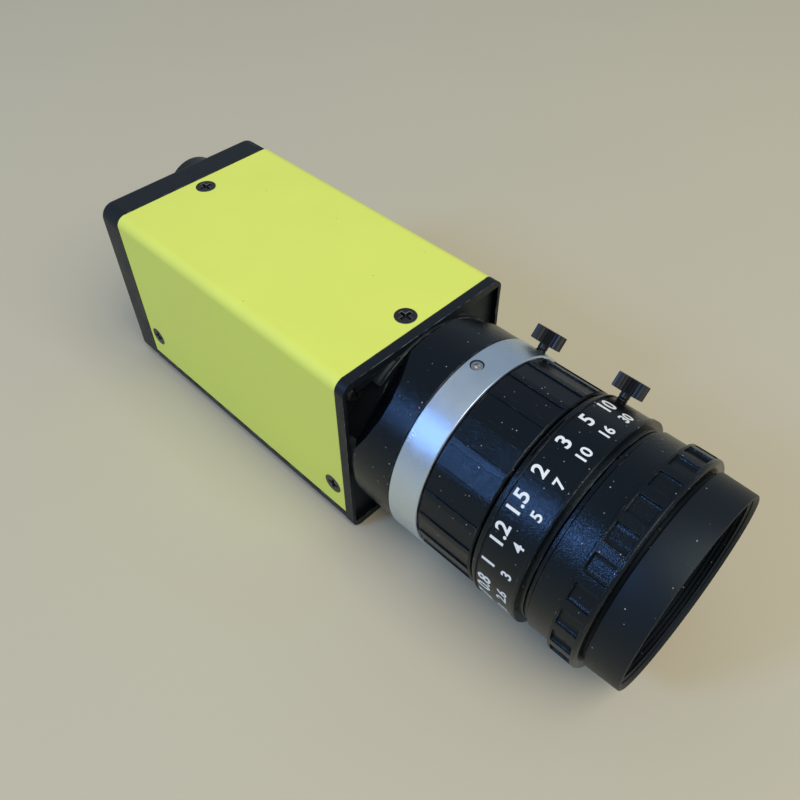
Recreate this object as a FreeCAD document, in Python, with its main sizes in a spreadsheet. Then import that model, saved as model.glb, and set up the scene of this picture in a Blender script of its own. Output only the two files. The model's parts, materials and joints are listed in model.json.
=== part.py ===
"""Machine vision camera with a fixed focal length C-mount lens.

Millimetres. +X is right, +Y runs from the lens to the rear sockets, +Z is up.
The origin is the centre of the four fixing holes, on the camera's underside.
A distance "behind" counts back from the front frame's face, and a distance
"forward" counts from that same face towards the lens.
"""
import FreeCAD, Part
import math
import os

import Sketcher
from FreeCAD import Placement, Rotation, Vector

SIZES = {
    # camera body
    "frame_depth": 1.5,
    "frame_corner": 1.7,
    "cap_depth": 4.8,
    "cap_corner": 2.2,
    "cap_edge": 0.7,
    "lip_width": 1.3,
    "lip_side_width": 0.6,
    "lip_depth": 0.9,
    "axis_rise": 0.3,
    "cover_wall": 1.0,
    "cover_inset": 0.05,
    "cover_bend": 1.6,
    "cover_low_edge": 2.75,
    "seam": 0.05,
    "skirt_gap": 0.1,
    "front_skirt_depth": 6.5,
    "rear_skirt_depth": 3.6,
    "skirt_wall": 1.4,
    "front_wall": 4.2,
    "rear_wall": 1.8,
    # base plate
    "floor_thickness": 2.6,
    "floor_corner": 2.0,
    "fixing_side_margin": 2.25,
    "fixing_pitch_along": 30.0,
    "fixing_radius": 1.25,
    "fixing_depth": 3.5,
    "fixing_boss_radius": 2.2,
    "fixing_boss_rise": 1.6,
    "rail_height": 2.2,
    "rail_wall": 1.2,
    "rail_clearance": 0.3,
    # screws
    "screw_radius": 0.95,
    "screw_head_radius": 1.55,
    "screw_head_depth": 0.65,
    "screw_length": 2.1,
    "base_screw_length": 4.0,
    "screw_inset": 2.3,
    "side_screw_height": 7.2,
    "base_screw_offset": 4.3,
    "base_screw_inset": 3.05,
    "small_screw_radius": 0.75,
    "small_head_radius": 1.4,
    "small_head_depth": 1.1,
    "front_screw_length": 4.2,
    "hole_clearance": 0.05,
    "recess_width": 0.5,
    "recess_reach": 0.95,
    "recess_depth": 0.6,
    # front housing, its round boss and its corner pockets
    "boss_radius": 14.0,
    "boss_rise": 0.5,
    "pocket_depth": 3.0,
    "pocket_corner_width": 1.6,
    "pocket_ledge_drop": 2.1,
    "pocket_width": 5.7,
    "pocket_height": 10.25,
    "pocket_wall": 0.45,
    "front_screw_side_margin": 1.25,
    "front_screw_top_margin": 1.3,
    # lens adapter and infrared filter
    "adapter_wall": 1.8,
    "adapter_gap": 0.4,
    "adapter_neck_radius": 13.3,
    "adapter_corner_cut": 2.4,
    "adapter_cut_floor": 12.6,
    "nose_length": 7.35,
    "spigot_floor_gap": 0.4,
    "fit_clearance": 0.05,
    "mount_thread_radius": 12.7,
    "mount_thread_depth": 4.35,
    "edge_break": 0.15,
    "filter_ledge": 1.25,
    "filter_cell_wall": 1.3,
    "filter_thickness": 1.0,
    "filter_shelf": 3.2,
    "seal_section": 0.35,
    "filter_ring_depth": 1.6,
    "filter_ring_width": 1.65,
    # sensor and circuit boards
    "flange_distance": 17.526,
    "die_height": 0.85,
    "holder_side_gap": 0.15,
    "holder_floor_gap": 0.25,
    "holder_post_across": 1.5,
    "holder_post_up": 1.4,
    "holder_window_depth": 1.2,
    "holder_window_ledge": 1.0,
    "sensor_side_room": 2.0,
    "sensor_end_room": 1.3,
    "sensor_thickness": 1.4,
    "glass_margin": 1.0,
    "glass_thickness": 0.5,
    "board_inset": 0.5,
    "board_thickness": 1.2,
    "board_hole_margin": 1.7,
    "standoff_flats": 3.2,
    "standoff_length": 11.8,
    "standoff_stud": 4.0,
    "header_side_gap": 2.5,
    "header_height": 3.2,
    "header_drop": 7.0,
    "chip_width": 11.0,
    "chip_thickness": 1.5,
    "memory_width": 5.0,
    "memory_height": 7.0,
    "memory_thickness": 1.2,
    "memory_offset": 4.0,
    "pad_thickness": 0.5,
    "spreader_width": 12.0,
    "spreader_thickness": 2.0,
    "spreader_rise": 0.2,
    "spreader_foot": 3.4,
    "spreader_screw_spread": 4.0,
    "flex_width": 8.0,
    "flex_thickness": 0.2,
    "flex_drop": 1.8,
    "flex_run": 5.8,
    "flex_connector_width": 9.0,
    "flex_connector_depth": 1.0,
    "flex_connector_height": 2.0,
    # rear sockets
    "socket_width": 16.0,
    "socket_height": 12.6,
    "socket_base": 2.9,
    "socket_length": 21.2,
    "socket_gap": 0.374,
    "socket_proud": 0.2,
    "socket_wall": 0.3,
    "socket_clearance": 0.1,
    "plug_width": 11.8,
    "plug_height": 6.8,
    "plug_base": 1.3,
    "plug_depth": 12.5,
    "latch_width": 6.2,
    "latch_height": 1.4,
    "contact_pitch": 1.02,
    "contact_width": 0.5,
    "contact_height": 0.5,
    "contact_length": 9.0,
    "lock_hole_gap": 3.2,
    "lock_hole_margin": 3.3,
    "lock_hole_radius": 0.8,
    "interface_side_gap": 0.85,
    "interface_front_gap": 1.074,
    "interface_gap": 0.1,
    "connector_inset": 6.95,
    "connector_gap": 0.8,
    "connector_margin": 2.5,
    "connector_radius": 5.1,
    "connector_wall": 0.6,
    "connector_shoulder": 1.1,
    "connector_length": 5.5,
    "connector_tail": 4.0,
    "nut_wall": 0.8,
    "nut_thickness": 1.6,
    "insert_proud": 1.0,
    "insert_length": 5.2,
    "pin_radius": 0.35,
    "pin_inset": 1.3,
    "pin_length": 3.2,
    "pin_tail": 1.6,
    "light_across": 7.5,
    "light_rise": 1.8,
    "light_radius": 1.2,
    "light_length": 4.0,
    "light_proud": 0.3,
    "led_width": 2.0,
    "led_depth": 1.3,
    # lens mount ring
    "mount_wall": 2.6,
    "mount_length": 4.7,
    "mount_stub_length": 3.9,
    "mount_floor": 1.0,
    "mount_tail_bore": 10.0,
    "mount_grip": 1.35,
    "set_screw_radius": 0.85,
    "set_screw_back": 1.4,
    "set_screw_angle": 3.0,
    "set_screw_sunk": 0.1,
    "socket_hex": 1.0,
    # fixed inner barrel
    "barrel_radius": 12.0,
    "barrel_wall": 1.55,
    "focus_washer_thickness": 0.5,
    "barrel_tail_radius": 9.9,
    "barrel_tail_reach": 3.15,
    "barrel_shelf_inset": 1.8,
    "barrel_waist_bore": 8.4,
    "barrel_stop_bore": 7.4,
    "rear_lens_gap": 0.2,
    "barrel_stop_length": 1.2,
    "rear_lens_cell_wall": 1.3,
    "rear_lens_thickness": 2.8,
    "rear_lens_curve": 24.0,
    "rear_ring_depth": 0.6,
    # iris
    "iris_ring_wall": 2.4,
    "iris_ring_length": 8.4,
    "ring_gap": 0.15,
    "sleeve_wall": 0.55,
    "sleeve_clearance": 0.1,
    "iris_flat_depth": 0.25,
    "iris_flat_rim": 0.3,
    "iris_flat_angle": 11.2,
    "iris_flat_first": 1.7,
    "iris_turn": 50.0,
    "blade_swing": 30.0,
    "iris_aperture": 5.25,
    "cage_thickness": 0.9,
    "blade_thickness": 0.15,
    "blade_pitch": 0.27,
    "blade_lift": 0.2,
    "blade_inner": 5.35,
    "blade_rim_gap": 1.75,
    "blade_sweep": 126.0,
    "blade_heel_angle": 8.0,
    "blade_ear_radius": 0.8,
    "blade_drive_ear": 0.55,
    "blade_pin_radius": 0.3,
    "blade_pivot_inset": 1.15,
    "blade_drive_arm": 0.9,
    "cam_lift": 0.25,
    "cam_thickness": 1.6,
    "cam_bore": 7.4,
    "cam_clearance": 0.1,
    "cam_slot_clearance": 0.15,
    "drive_pin_radius": 0.5,
    "drive_pin_angle": 150.0,
    "drive_pin_sunk": 0.6,
    "drive_slot_margin": 6.0,
    "retainer_lift": 0.3,
    "retainer_depth": 1.0,
    "retainer_bore": 8.0,
    # fixed name band
    "band_gap": 0.25,
    "band_wall": 2.5,
    "band_length": 7.35,
    "band_back_wall": 2.2,
    "band_back_length": 0.6,
    "band_bead_wall": 2.65,
    "band_bead_width": 0.3,
    "band_flange_wall": 2.7,
    "band_flange_width": 0.6,
    "band_neck_wall": 1.7,
    "band_neck_length": 0.6,
    # focus ring
    "focus_length": 7.75,
    "focus_neck_length": 0.55,
    "focus_wall": 2.1,
    "grip_start": 3.85,
    "grip_wall": 2.65,
    "grip_count": 24.0,
    "grip_gap_angle": 9.8,
    "grip_gap_first": 16.6,
    "grip_gap_wall": 2.2,
    "grip_gap_length": 2.7,
    "grip_gap_back": 0.5,
    "focus_flange": 2.9,
    "focus_thread_gap": 1.0,
    "focus_washer_wall": 0.75,
    # front barrel, its glass and the guide key
    "hood_gap": 0.45,
    "hood_length": 4.55,
    "hood_wall": 1.6,
    "hood_rim_step": 1.45,
    "hood_rim_wall": 0.35,
    "filter_thread_step": 0.75,
    "filter_thread_depth": 2.6,
    "hood_step_inset": 0.6,
    "front_ring_width": 0.85,
    "front_ring_depth": 0.9,
    "front_bore_step": 0.15,
    "front_lens_thickness": 3.2,
    "front_lens_curve": 19.0,
    "slide_wall": 1.2,
    "slide_back_gap": 0.52,
    "slide_gap": 0.6,
    "inner_lens_thickness": 2.4,
    "inner_lens_curve": 30.0,
    "inner_lens_back": 4.6,
    "focus_travel": 1.6,
    "key_radius": 0.6,
    "key_reach": 2.2,
    "key_sunk": 0.1,
    "key_inset": 1.2,
    "key_clearance": 0.05,
    # thumb screws
    "lock_angle": -45.0,
    "lock_inset": 1.75,
    "lock_radius": 0.8,
    "lock_neck_radius": 0.65,
    "lock_head_radius": 2.1,
    "lock_head_length": 1.95,
    "lock_head_rise": 3.6,
    "lock_head_break": 0.25,
    "lock_pad_length": 0.6,
    "lock_spigot_radius": 0.35,
    "lock_spigot_length": 0.6,
    "knurl_count": 22.0,
    "knurl_radius": 0.13,
}

os.makedirs("parts", exist_ok=True)
document = FreeCAD.newDocument("machine_vision_camera")
sheet = document.addObject("Spreadsheet::Sheet", "Sizes")
for row, (size_name, size_value) in enumerate(SIZES.items(), start=1):
    sheet.set(f"A{row}", size_name)
    sheet.set(f"B{row}", str(size_value))
    sheet.setAlias(f"B{row}", size_name)
document.recompute()


class Size:
    """A number from the sheet, or a sum worked out from some of them."""

    def __init__(self, value, formula):
        self.value = value
        self.formula = formula

    def join(self, sign, other, value, swapped=False):
        left, right = self.formula, formula_of(other)
        if swapped:
            left, right = right, left
        return Size(value, f"({left} {sign} {right})")

    def __add__(self, other):
        return self.join("+", other, self.value + value_of(other))

    def __radd__(self, other):
        return self.join("+", other, value_of(other) + self.value, swapped=True)

    def __sub__(self, other):
        return self.join("-", other, self.value - value_of(other))

    def __rsub__(self, other):
        return self.join("-", other, value_of(other) - self.value, swapped=True)

    def __mul__(self, other):
        return self.join("*", other, self.value * value_of(other))

    def __rmul__(self, other):
        return self.join("*", other, value_of(other) * self.value, swapped=True)

    def __truediv__(self, other):
        return self.join("/", other, self.value / value_of(other))

    def __neg__(self):
        return self * -1


def value_of(number):
    return number.value if isinstance(number, Size) else number


def formula_of(number):
    return number.formula if isinstance(number, Size) else f"({number})"


def bind(target, path, number):
    """Tie one property of a document object to the sheet."""
    target.setExpression(path, formula_of(number))


size = {name: Size(sheet.get(name), f"Sizes.{name}") for name in SIZES}
zero = Size(0, "0")

# --- planes and radii that several pieces share ---------------------------------------
socket_top = size["socket_base"] + size["socket_height"]
connector_height = socket_top + size["connector_gap"] + size["connector_radius"]
body_height = connector_height + size["connector_radius"] + size["connector_margin"]
lock_hole_spread = size["socket_width"] / 2 + size["lock_hole_gap"]
half_width = lock_hole_spread + size["lock_hole_margin"]
board_depth = size["flange_distance"] - size["nose_length"] + size["die_height"]
processor_depth = board_depth + size["board_thickness"] + size["standoff_length"]
chip_depth = processor_depth + size["board_thickness"] + size["chip_thickness"]
spreader_depth = chip_depth + size["pad_thickness"]
socket_depth = (spreader_depth + size["spreader_thickness"] + size["spreader_foot"]
                + size["socket_gap"])
body_length = socket_depth + size["socket_length"] - size["socket_proud"]
front = -body_length / 2
rear = body_length / 2
axis = body_height / 2 + size["axis_rise"]
cover_front = front + size["frame_depth"] + size["seam"]
cover_rear = rear - size["cap_depth"] - size["seam"]
cover_half = half_width - size["cover_inset"]
cover_top = body_height - size["cover_inset"]
skirt_half = cover_half - size["cover_wall"] - size["skirt_gap"]
skirt_top = cover_top - size["cover_wall"] - size["skirt_gap"]
skirt_bottom = size["floor_thickness"] + size["seam"]
cavity_half = skirt_half - size["skirt_wall"]
cavity_top = skirt_top - size["skirt_wall"]
cavity_bottom = skirt_bottom + size["skirt_wall"]
front_skirt_end = front + size["frame_depth"] + size["front_skirt_depth"]
rear_skirt_start = rear - size["cap_depth"] - size["rear_skirt_depth"]
wall_back = front + size["front_wall"]
rear_wall_inside = rear - size["rear_wall"]
board_front = front + board_depth
stack_front = board_front + size["board_thickness"]
processor_front = front + processor_depth
processor_back = processor_front + size["board_thickness"]
spreader_front = front + spreader_depth
interface_bottom = socket_top + size["interface_gap"]
interface_top = interface_bottom + size["board_thickness"]
interface_rear = rear - size["light_length"] - size["interface_gap"]
interface_front = spreader_front + size["spreader_thickness"] + size["interface_front_gap"]

holder_half = cavity_half - size["holder_side_gap"]
holder_half_up = axis - cavity_bottom - size["holder_floor_gap"]
board_half = holder_half - size["board_inset"]
board_half_up = holder_half_up - size["board_inset"]
board_hole_across = board_half - size["board_hole_margin"]
board_hole_up = board_half_up - size["board_hole_margin"]
flex_height = axis + board_half_up - size["flex_drop"]
tunnel_half = board_hole_across - size["holder_post_across"]
tunnel_half_up = board_hole_up - size["holder_post_up"]
front_screw_across = cavity_half - size["front_screw_side_margin"]
front_screw_up = holder_half_up - size["front_screw_top_margin"]
connector_across = cavity_half - size["connector_inset"]
connector_body = size["connector_radius"] - size["connector_shoulder"]
connector_bore = connector_body - size["connector_wall"]
pin_circle = connector_bore - size["pin_inset"]
light_height = interface_top + size["light_rise"]
fixing_half_pitch = skirt_half - size["fixing_side_margin"]

mount_radius = size["barrel_radius"] + size["mount_wall"]
iris_ring_radius = size["barrel_radius"] + size["iris_ring_wall"]
band_radius = size["barrel_radius"] + size["band_wall"]
band_back_radius = size["barrel_radius"] + size["band_back_wall"]
band_bead_radius = size["barrel_radius"] + size["band_bead_wall"]
band_flange_radius = size["barrel_radius"] + size["band_flange_wall"]
band_neck_radius = size["barrel_radius"] + size["band_neck_wall"]
focus_radius = size["barrel_radius"] + size["focus_wall"]
grip_radius = size["barrel_radius"] + size["grip_wall"]
grip_gap_radius = size["barrel_radius"] + size["grip_gap_wall"]
focus_thread_bore = size["barrel_radius"] + size["focus_thread_gap"]
focus_washer_radius = size["barrel_radius"] + size["focus_washer_wall"]
hood_radius = size["barrel_radius"] + size["hood_wall"]
hood_rim_radius = size["barrel_radius"] + size["hood_rim_step"]
filter_thread_radius = size["barrel_radius"] + size["filter_thread_step"]
hood_step_radius = size["barrel_radius"] - size["hood_step_inset"]
lock_head_base = size["barrel_radius"] + size["lock_head_rise"]
barrel_bore = size["barrel_radius"] - size["barrel_wall"]
iris_part_radius = barrel_bore - size["fit_clearance"]
blade_pivot_circle = barrel_bore - size["blade_pivot_inset"]
blade_outer = barrel_bore - size["blade_rim_gap"]
front_bore = barrel_bore - size["front_bore_step"]
front_lens_radius = front_bore - size["fit_clearance"] * 2
front_ring_outer = front_bore - size["fit_clearance"]
slide_bore = barrel_bore - size["fit_clearance"] - size["slide_wall"]
inner_lens_radius = slide_bore - size["fit_clearance"] * 2
front_ring_bore = front_ring_outer - size["front_ring_width"]
spigot_radius = axis - size["floor_thickness"] - size["spigot_floor_gap"]
filter_radius = spigot_radius - size["filter_cell_wall"] - size["fit_clearance"]
filter_aperture = filter_radius - size["filter_ledge"]
filter_ring_bore = filter_radius - size["filter_ring_width"]
adapter_radius = size["mount_thread_radius"] + size["adapter_wall"]
mount_front = size["nose_length"] + size["mount_length"]
iris_back = mount_front + size["ring_gap"]
iris_front = iris_back + size["iris_ring_length"]
band_back = iris_front + size["band_gap"]
band_front = band_back + size["band_length"]
focus_back = band_front + size["ring_gap"]
focus_front = focus_back + size["focus_length"]
hood_back = focus_front + size["hood_gap"]
hood_front = hood_back + size["hood_length"]
barrel_end = (focus_back + size["focus_flange"] + size["ring_gap"]
              + size["focus_washer_thickness"])
barrel_shelf = iris_back + size["barrel_shelf_inset"]
barrel_tail_back = size["nose_length"] - size["barrel_tail_reach"]
rear_lens_back = barrel_tail_back + size["rear_ring_depth"] + size["rear_lens_gap"]
barrel_stop_start = rear_lens_back + size["rear_lens_thickness"]
rear_lens_radius = size["barrel_tail_radius"] - size["rear_lens_cell_wall"] - size["fit_clearance"]
key_forward = band_front - size["key_inset"]
iris_lock_forward = mount_front - size["lock_inset"]
focus_lock_forward = band_back + size["lock_inset"]
adapter_back = size["boss_rise"] + size["adapter_gap"]
running_bore = size["barrel_radius"] + size["fit_clearance"]
sleeve_radius = running_bore + size["sleeve_wall"]
mount_grip_end = size["nose_length"] + size["mount_floor"] + size["mount_grip"]
cam_back = (barrel_shelf + size["cage_thickness"] + size["blade_lift"]
            + size["blade_pitch"] * 4 + size["blade_thickness"] + size["cam_lift"])
cam_front = cam_back + size["cam_thickness"]
drive_pin_forward = cam_back + size["cam_thickness"] / 2
retainer_front = cam_front + size["retainer_lift"] + size["retainer_depth"]

BLADES = 5
ADAPTER_CUTS = 4
SET_SCREWS = 3
IRIS_FLATS = 24
CONNECTOR_PINS = 6
SOCKET_CONTACTS = 8
BOTH_SIDES = (-1, 1)
SIDE_NAMES = ("left", "right")  # as seen by someone who faces the lens
BEYOND = 1.0                 # how far a cut runs past the surface it starts from
SAME = 0.001                 # how near two places are when they count as one
beyond = zero + BEYOND

UP = Vector(0, 0, 1)
DOWN = Vector(0, 0, -1)
FORWARD = Vector(0, -1, 0)
BACKWARD = Vector(0, 1, 0)
LENS_TURN = Rotation(FORWARD, UP, Vector(-1, 0, 0))
REAR_TURN = Rotation(BACKWARD, UP, Vector(1, 0, 0))

pieces = {}


# --- sketches and features -------------------------------------------------------------
def origin_feature(body, role):
    for feature in body.Origin.OriginFeatures:
        if feature.Role == role:
            return feature
    raise ValueError(f"{body.Name} has no {role}")


def new_body(name):
    body = document.addObject("PartDesign::Body", name)
    body.Label = name
    return body


def rectangle(left, right, low, high):
    return [(left, low), (right, low), (right, high), (left, high)]


def about_lens_axis(half, half_up):
    return rectangle(-half, half, axis - half_up, axis + half_up)


def circle(across, up, radius):
    return {"across": across, "up": up, "radius": radius}


def fix_point(sketch, geometry, point, across, up):
    for kind, number in (("DistanceX", across), ("DistanceY", up)):
        place = sketch.addConstraint(
            Sketcher.Constraint(kind, -1, 1, geometry, point, value_of(number)))
        if isinstance(number, Size):
            bind(sketch, f"Constraints[{place}]", number)


def draw_polygon(sketch, corners):
    first = sketch.GeometryCount
    count = len(corners)
    points = [Vector(value_of(u), value_of(v), 0) for u, v in corners]
    for index in range(count):
        end = points[(index + 1) % count]
        sketch.addGeometry(Part.LineSegment(points[index], end), False)
    for index in range(count):
        following = first + (index + 1) % count
        sketch.addConstraint(
            Sketcher.Constraint("Coincident", first + index, 2, following, 1))
    for index, (across, up) in enumerate(corners):
        fix_point(sketch, first + index, 1, across, up)


def draw_circle(sketch, hole):
    centre = Vector(value_of(hole["across"]), value_of(hole["up"]), 0)
    edge = Part.Circle(centre, Vector(0, 0, 1), value_of(hole["radius"]))
    place = sketch.addGeometry(edge, False)
    fix_point(sketch, place, 3, hole["across"], hole["up"])
    rule = sketch.addConstraint(
        Sketcher.Constraint("Radius", place, value_of(hole["radius"])))
    bind(sketch, f"Constraints[{rule}]", hole["radius"])


def new_sketch(body, name, plane, shapes, offset=None):
    sketch = body.newObject("Sketcher::SketchObject", name)
    sketch.AttachmentSupport = [(origin_feature(body, plane), "")]
    sketch.MapMode = "FlatFace"
    if offset is not None:
        sketch.AttachmentOffset = offset
    for shape in shapes:
        if isinstance(shape, dict):
            draw_circle(sketch, shape)
        else:
            draw_polygon(sketch, shape)
    return sketch


PLANE_OF_AXIS = {"x": "YZ_Plane", "y": "XZ_Plane", "z": "XY_Plane"}


def extrude(body, kind, name, along, shapes, start, end):
    """Pad or pocket the shapes between two planes square to one axis."""
    flipped = along == "y"           # the XZ plane's sketches face -Y
    sketch = new_sketch(body, name + "_sketch", PLANE_OF_AXIS[along], shapes)
    bind(sketch, "AttachmentOffset.Base.z", -start if flipped else start)
    feature = body.newObject("PartDesign::" + kind, name)
    feature.Profile = sketch
    bind(feature, "Length", end - start)
    feature.Reversed = flipped if kind == "Pad" else not flipped
    return feature


def pad(body, name, along, shapes, start, end):
    return extrude(body, "Pad", name, along, shapes, start, end)


def pocket(body, name, along, shapes, start, end):
    document.recompute()
    before = body.Shape.Volume
    feature = extrude(body, "Pocket", name, along, shapes, start, end)
    document.recompute()
    if body.Shape.Volume >= before:
        raise ValueError(f"{name} cuts nothing from {body.Label}")
    return feature


def round_edges(body, name, radius, wanted):
    document.recompute()
    base = body.Tip
    names = [f"Edge{index}" for index, edge in enumerate(base.Shape.Edges, start=1)
             if wanted(edge)]
    fillet = body.newObject("PartDesign::Fillet", name)
    fillet.Base = (base, names)
    bind(fillet, "Radius", radius)
    return fillet


def runs_along(edge, direction):
    if len(edge.Vertexes) != 2 or not isinstance(edge.Curve, Part.Line):
        return False
    return abs(edge.Curve.Direction.dot(direction)) > 0.999


def set_place(target, x, y, z, rotation):
    target.Placement = Placement(Vector(value_of(x), value_of(y), value_of(z)), rotation)
    for letter, number in (("x", x), ("y", y), ("z", z)):
        if isinstance(number, Size):
            bind(target, f"Placement.Base.{letter}", number)


def turned(name, profile, place=None):
    """A piece turned from a closed outline of (along, radius) corners.

    Without a place of its own it lies on the lens axis, and "along" counts
    forward from the front frame's face.
    """
    body = new_body(name)
    sketch = new_sketch(body, name + "_outline", "XY_Plane", [profile])
    turn = body.newObject("PartDesign::Revolution", name + "_turn")
    turn.Profile = sketch
    turn.ReferenceAxis = (sketch, ["H_Axis"])
    turn.Angle = 360
    if place is None:
        set_place(body, 0, front, axis, LENS_TURN)
    else:
        set_place(body, *place)
    return body


def ring(name, start, end, bore, radius, place=None):
    return turned(name, rectangle(start, end, bore, radius), place)


def spread_round(body, feature, count):
    pattern = body.newObject("PartDesign::PolarPattern", feature.Name + "_pattern")
    pattern.Originals = [feature]
    pattern.Axis = (origin_feature(body, "X_Axis"), [""])
    pattern.Angle = 360
    pattern.Occurrences = count
    body.Tip = pattern
    return pattern


def about_axis(angle):
    """The sketch placement that turns a sketch about the lens axis."""
    return Placement(Vector(), Rotation(Vector(1, 0, 0), value_of(angle)))


def radial_hole(body, name, forward, angle, radius, reach):
    """A hole square to the lens axis, cut from the axis outwards."""
    document.recompute()
    before = body.Shape.Volume
    turn = Placement(Vector(), Rotation(Vector(1, 0, 0), 180 + value_of(angle)))
    sketch = new_sketch(body, name + "_sketch", "XZ_Plane",
                        [circle(forward, 0, radius)], turn)
    hole = body.newObject("PartDesign::Pocket", name)
    hole.Profile = sketch
    bind(hole, "Length", reach)
    hole.Reversed = True
    document.recompute()
    if body.Shape.Volume >= before:
        raise ValueError(f"{name} cuts nothing from {body.Label}")
    return hole


def sector_cut(body, name, corners, angle, middle):
    """Turn a small outline through part of a circle about the lens axis."""
    sketch = new_sketch(body, name + "_sketch", "XY_Plane", [corners],
                        about_axis(middle))
    cut = body.newObject("PartDesign::Groove", name)
    cut.Profile = sketch
    cut.ReferenceAxis = (sketch, ["H_Axis"])
    bind(cut, "Angle", angle)
    cut.Midplane = True
    return cut


def box(name, x, y, z):
    """A plain block between two values on each axis."""
    block = document.addObject("Part::Box", name)
    block.Label = name
    for path, (low, high) in (("Length", x), ("Width", y), ("Height", z)):
        bind(block, path, high - low)
    for letter, (low, high) in (("x", x), ("y", y), ("z", z)):
        bind(block, f"Placement.Base.{letter}", low)
    return block


def group(name, members):
    """Several loose solids that share one node."""
    together = document.addObject("Part::Compound", name)
    together.Label = name
    together.Links = members
    return together


def keep(piece):
    """Enter a finished sub-part under its own label."""
    if piece.Label in pieces:
        raise ValueError(f"{piece.Label} is made twice")
    pieces[piece.Label] = piece
    return piece


def centred(middle, width):
    return middle - width / 2, middle + width / 2


# --- fasteners -------------------------------------------------------------------------
def cross_outline():
    arm = size["recess_width"] / 2
    reach = size["recess_reach"]
    return [(-reach, -arm), (-arm, -arm), (-arm, -reach), (arm, -reach),
            (arm, -arm), (reach, -arm), (reach, arm), (arm, arm),
            (arm, reach), (-arm, reach), (-arm, arm), (-reach, arm)]


def hexagon(flats, across=0, up=0):
    radius = flats / (2 * math.cos(math.pi / 6))
    corners = []
    for index in range(6):
        angle = math.radians(60 * index)
        corners.append((radius * math.cos(angle) + across, radius * math.sin(angle) + up))
    return corners


def screw(name, profile, place):
    """A screw along its own X axis, its head's top at zero, with a cross recess."""
    body = turned(name, profile, place)
    pocket(body, name + "_recess", "x", [cross_outline()],
           -size["recess_depth"], beyond)
    return body


def countersunk(name, length, place):
    head = size["screw_head_radius"]
    shank = size["screw_radius"]
    profile = [(0, 0), (0, head), (-size["screw_head_depth"], shank),
               (-length, shank), (-length, 0)]
    return screw(name, profile, place)


def pan_head(name, length, place):
    head = size["small_head_radius"]
    shank = size["small_screw_radius"]
    under = -size["small_head_depth"]
    shoulder = size["small_head_depth"] / 3
    profile = [(0, 0), (0, head - shoulder), (-shoulder, head), (under, head),
               (under, shank), (under - length, shank), (under - length, 0)]
    return screw(name, profile, place)


def facing(direction):
    return Rotation(Vector(1, 0, 0), direction)


cover_screw_front = cover_front + size["screw_inset"]
cover_screw_rear = cover_rear - size["screw_inset"]
side_screw = size["side_screw_height"]
COVER_SCREWS = []
for station in (cover_screw_front, cover_screw_rear):
    COVER_SCREWS.append((0, station, cover_top, UP))
    COVER_SCREWS.append((-cover_half, station, side_screw, Vector(-1, 0, 0)))
    COVER_SCREWS.append((cover_half, station, side_screw, Vector(1, 0, 0)))
base_screw_front = front + size["frame_depth"] + size["base_screw_offset"]
base_screw_rear = cover_screw_rear
BASE_SCREWS = [(side * (skirt_half - size["base_screw_inset"]), station)
               for station in (base_screw_front, base_screw_rear) for side in BOTH_SIDES]
FRONT_SCREWS = [(side * front_screw_across, axis - side * front_screw_up)
                for side in BOTH_SIDES]
STACK_HOLES = [(across * board_hole_across, axis + up * board_hole_up)
               for across in BOTH_SIDES for up in BOTH_SIDES]


def screw_hole_circles(places, radius):
    return [circle(across, up, radius) for across, up in places]


# --- camera body -----------------------------------------------------------------------
def upright_corner(edge):
    return runs_along(edge, BACKWARD)


def skirt_outline():
    return rectangle(-skirt_half, skirt_half, skirt_bottom, skirt_top)


def cavity_outline():
    return rectangle(-cavity_half, cavity_half, cavity_bottom, cavity_top)


def round_skirt(body, name):
    """Round the skirt's two top edges so that they clear the cover's bends."""
    bend = size["cover_bend"] - size["cover_wall"] - size["skirt_gap"]
    top = value_of(skirt_top)
    side = value_of(skirt_half)

    def wanted(edge):
        if not runs_along(edge, BACKWARD):
            return False
        middle = edge.CenterOfMass
        return abs(middle.z - top) < SAME and abs(abs(middle.x) - side) < SAME

    return round_edges(body, name, bend, wanted)


def tapped_cover_holes(body, name, stations):
    """The holes in one skirt that take the cover's screws."""
    radius = size["screw_radius"] + size["hole_clearance"]
    for index, station in enumerate(stations):
        pocket(body, f"{name}_top_{index}", "z", [circle(0, station, radius)],
               cavity_top - BEYOND, skirt_top + BEYOND)
        pocket(body, f"{name}_side_{index}", "x", [circle(station, side_screw, radius)],
               -skirt_half - BEYOND, skirt_half + BEYOND)


def corner_pocket(side):
    """The recess in one corner of the front frame; side -1 is up and to the left."""
    outer = half_width - size["lip_width"]
    top = body_height - size["lip_width"]
    low = top - size["pocket_height"]
    ledge = top - size["pocket_ledge_drop"]
    notch = outer - size["pocket_corner_width"]
    inner = outer - size["pocket_width"]
    corners = [(-outer, low), (-outer, top), (-notch, top), (-notch, ledge),
               (-inner, ledge), (-outer + size["pocket_wall"], low)]
    if side < 0:
        return corners
    return [(-across, 2 * axis - up) for across, up in corners]


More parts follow.
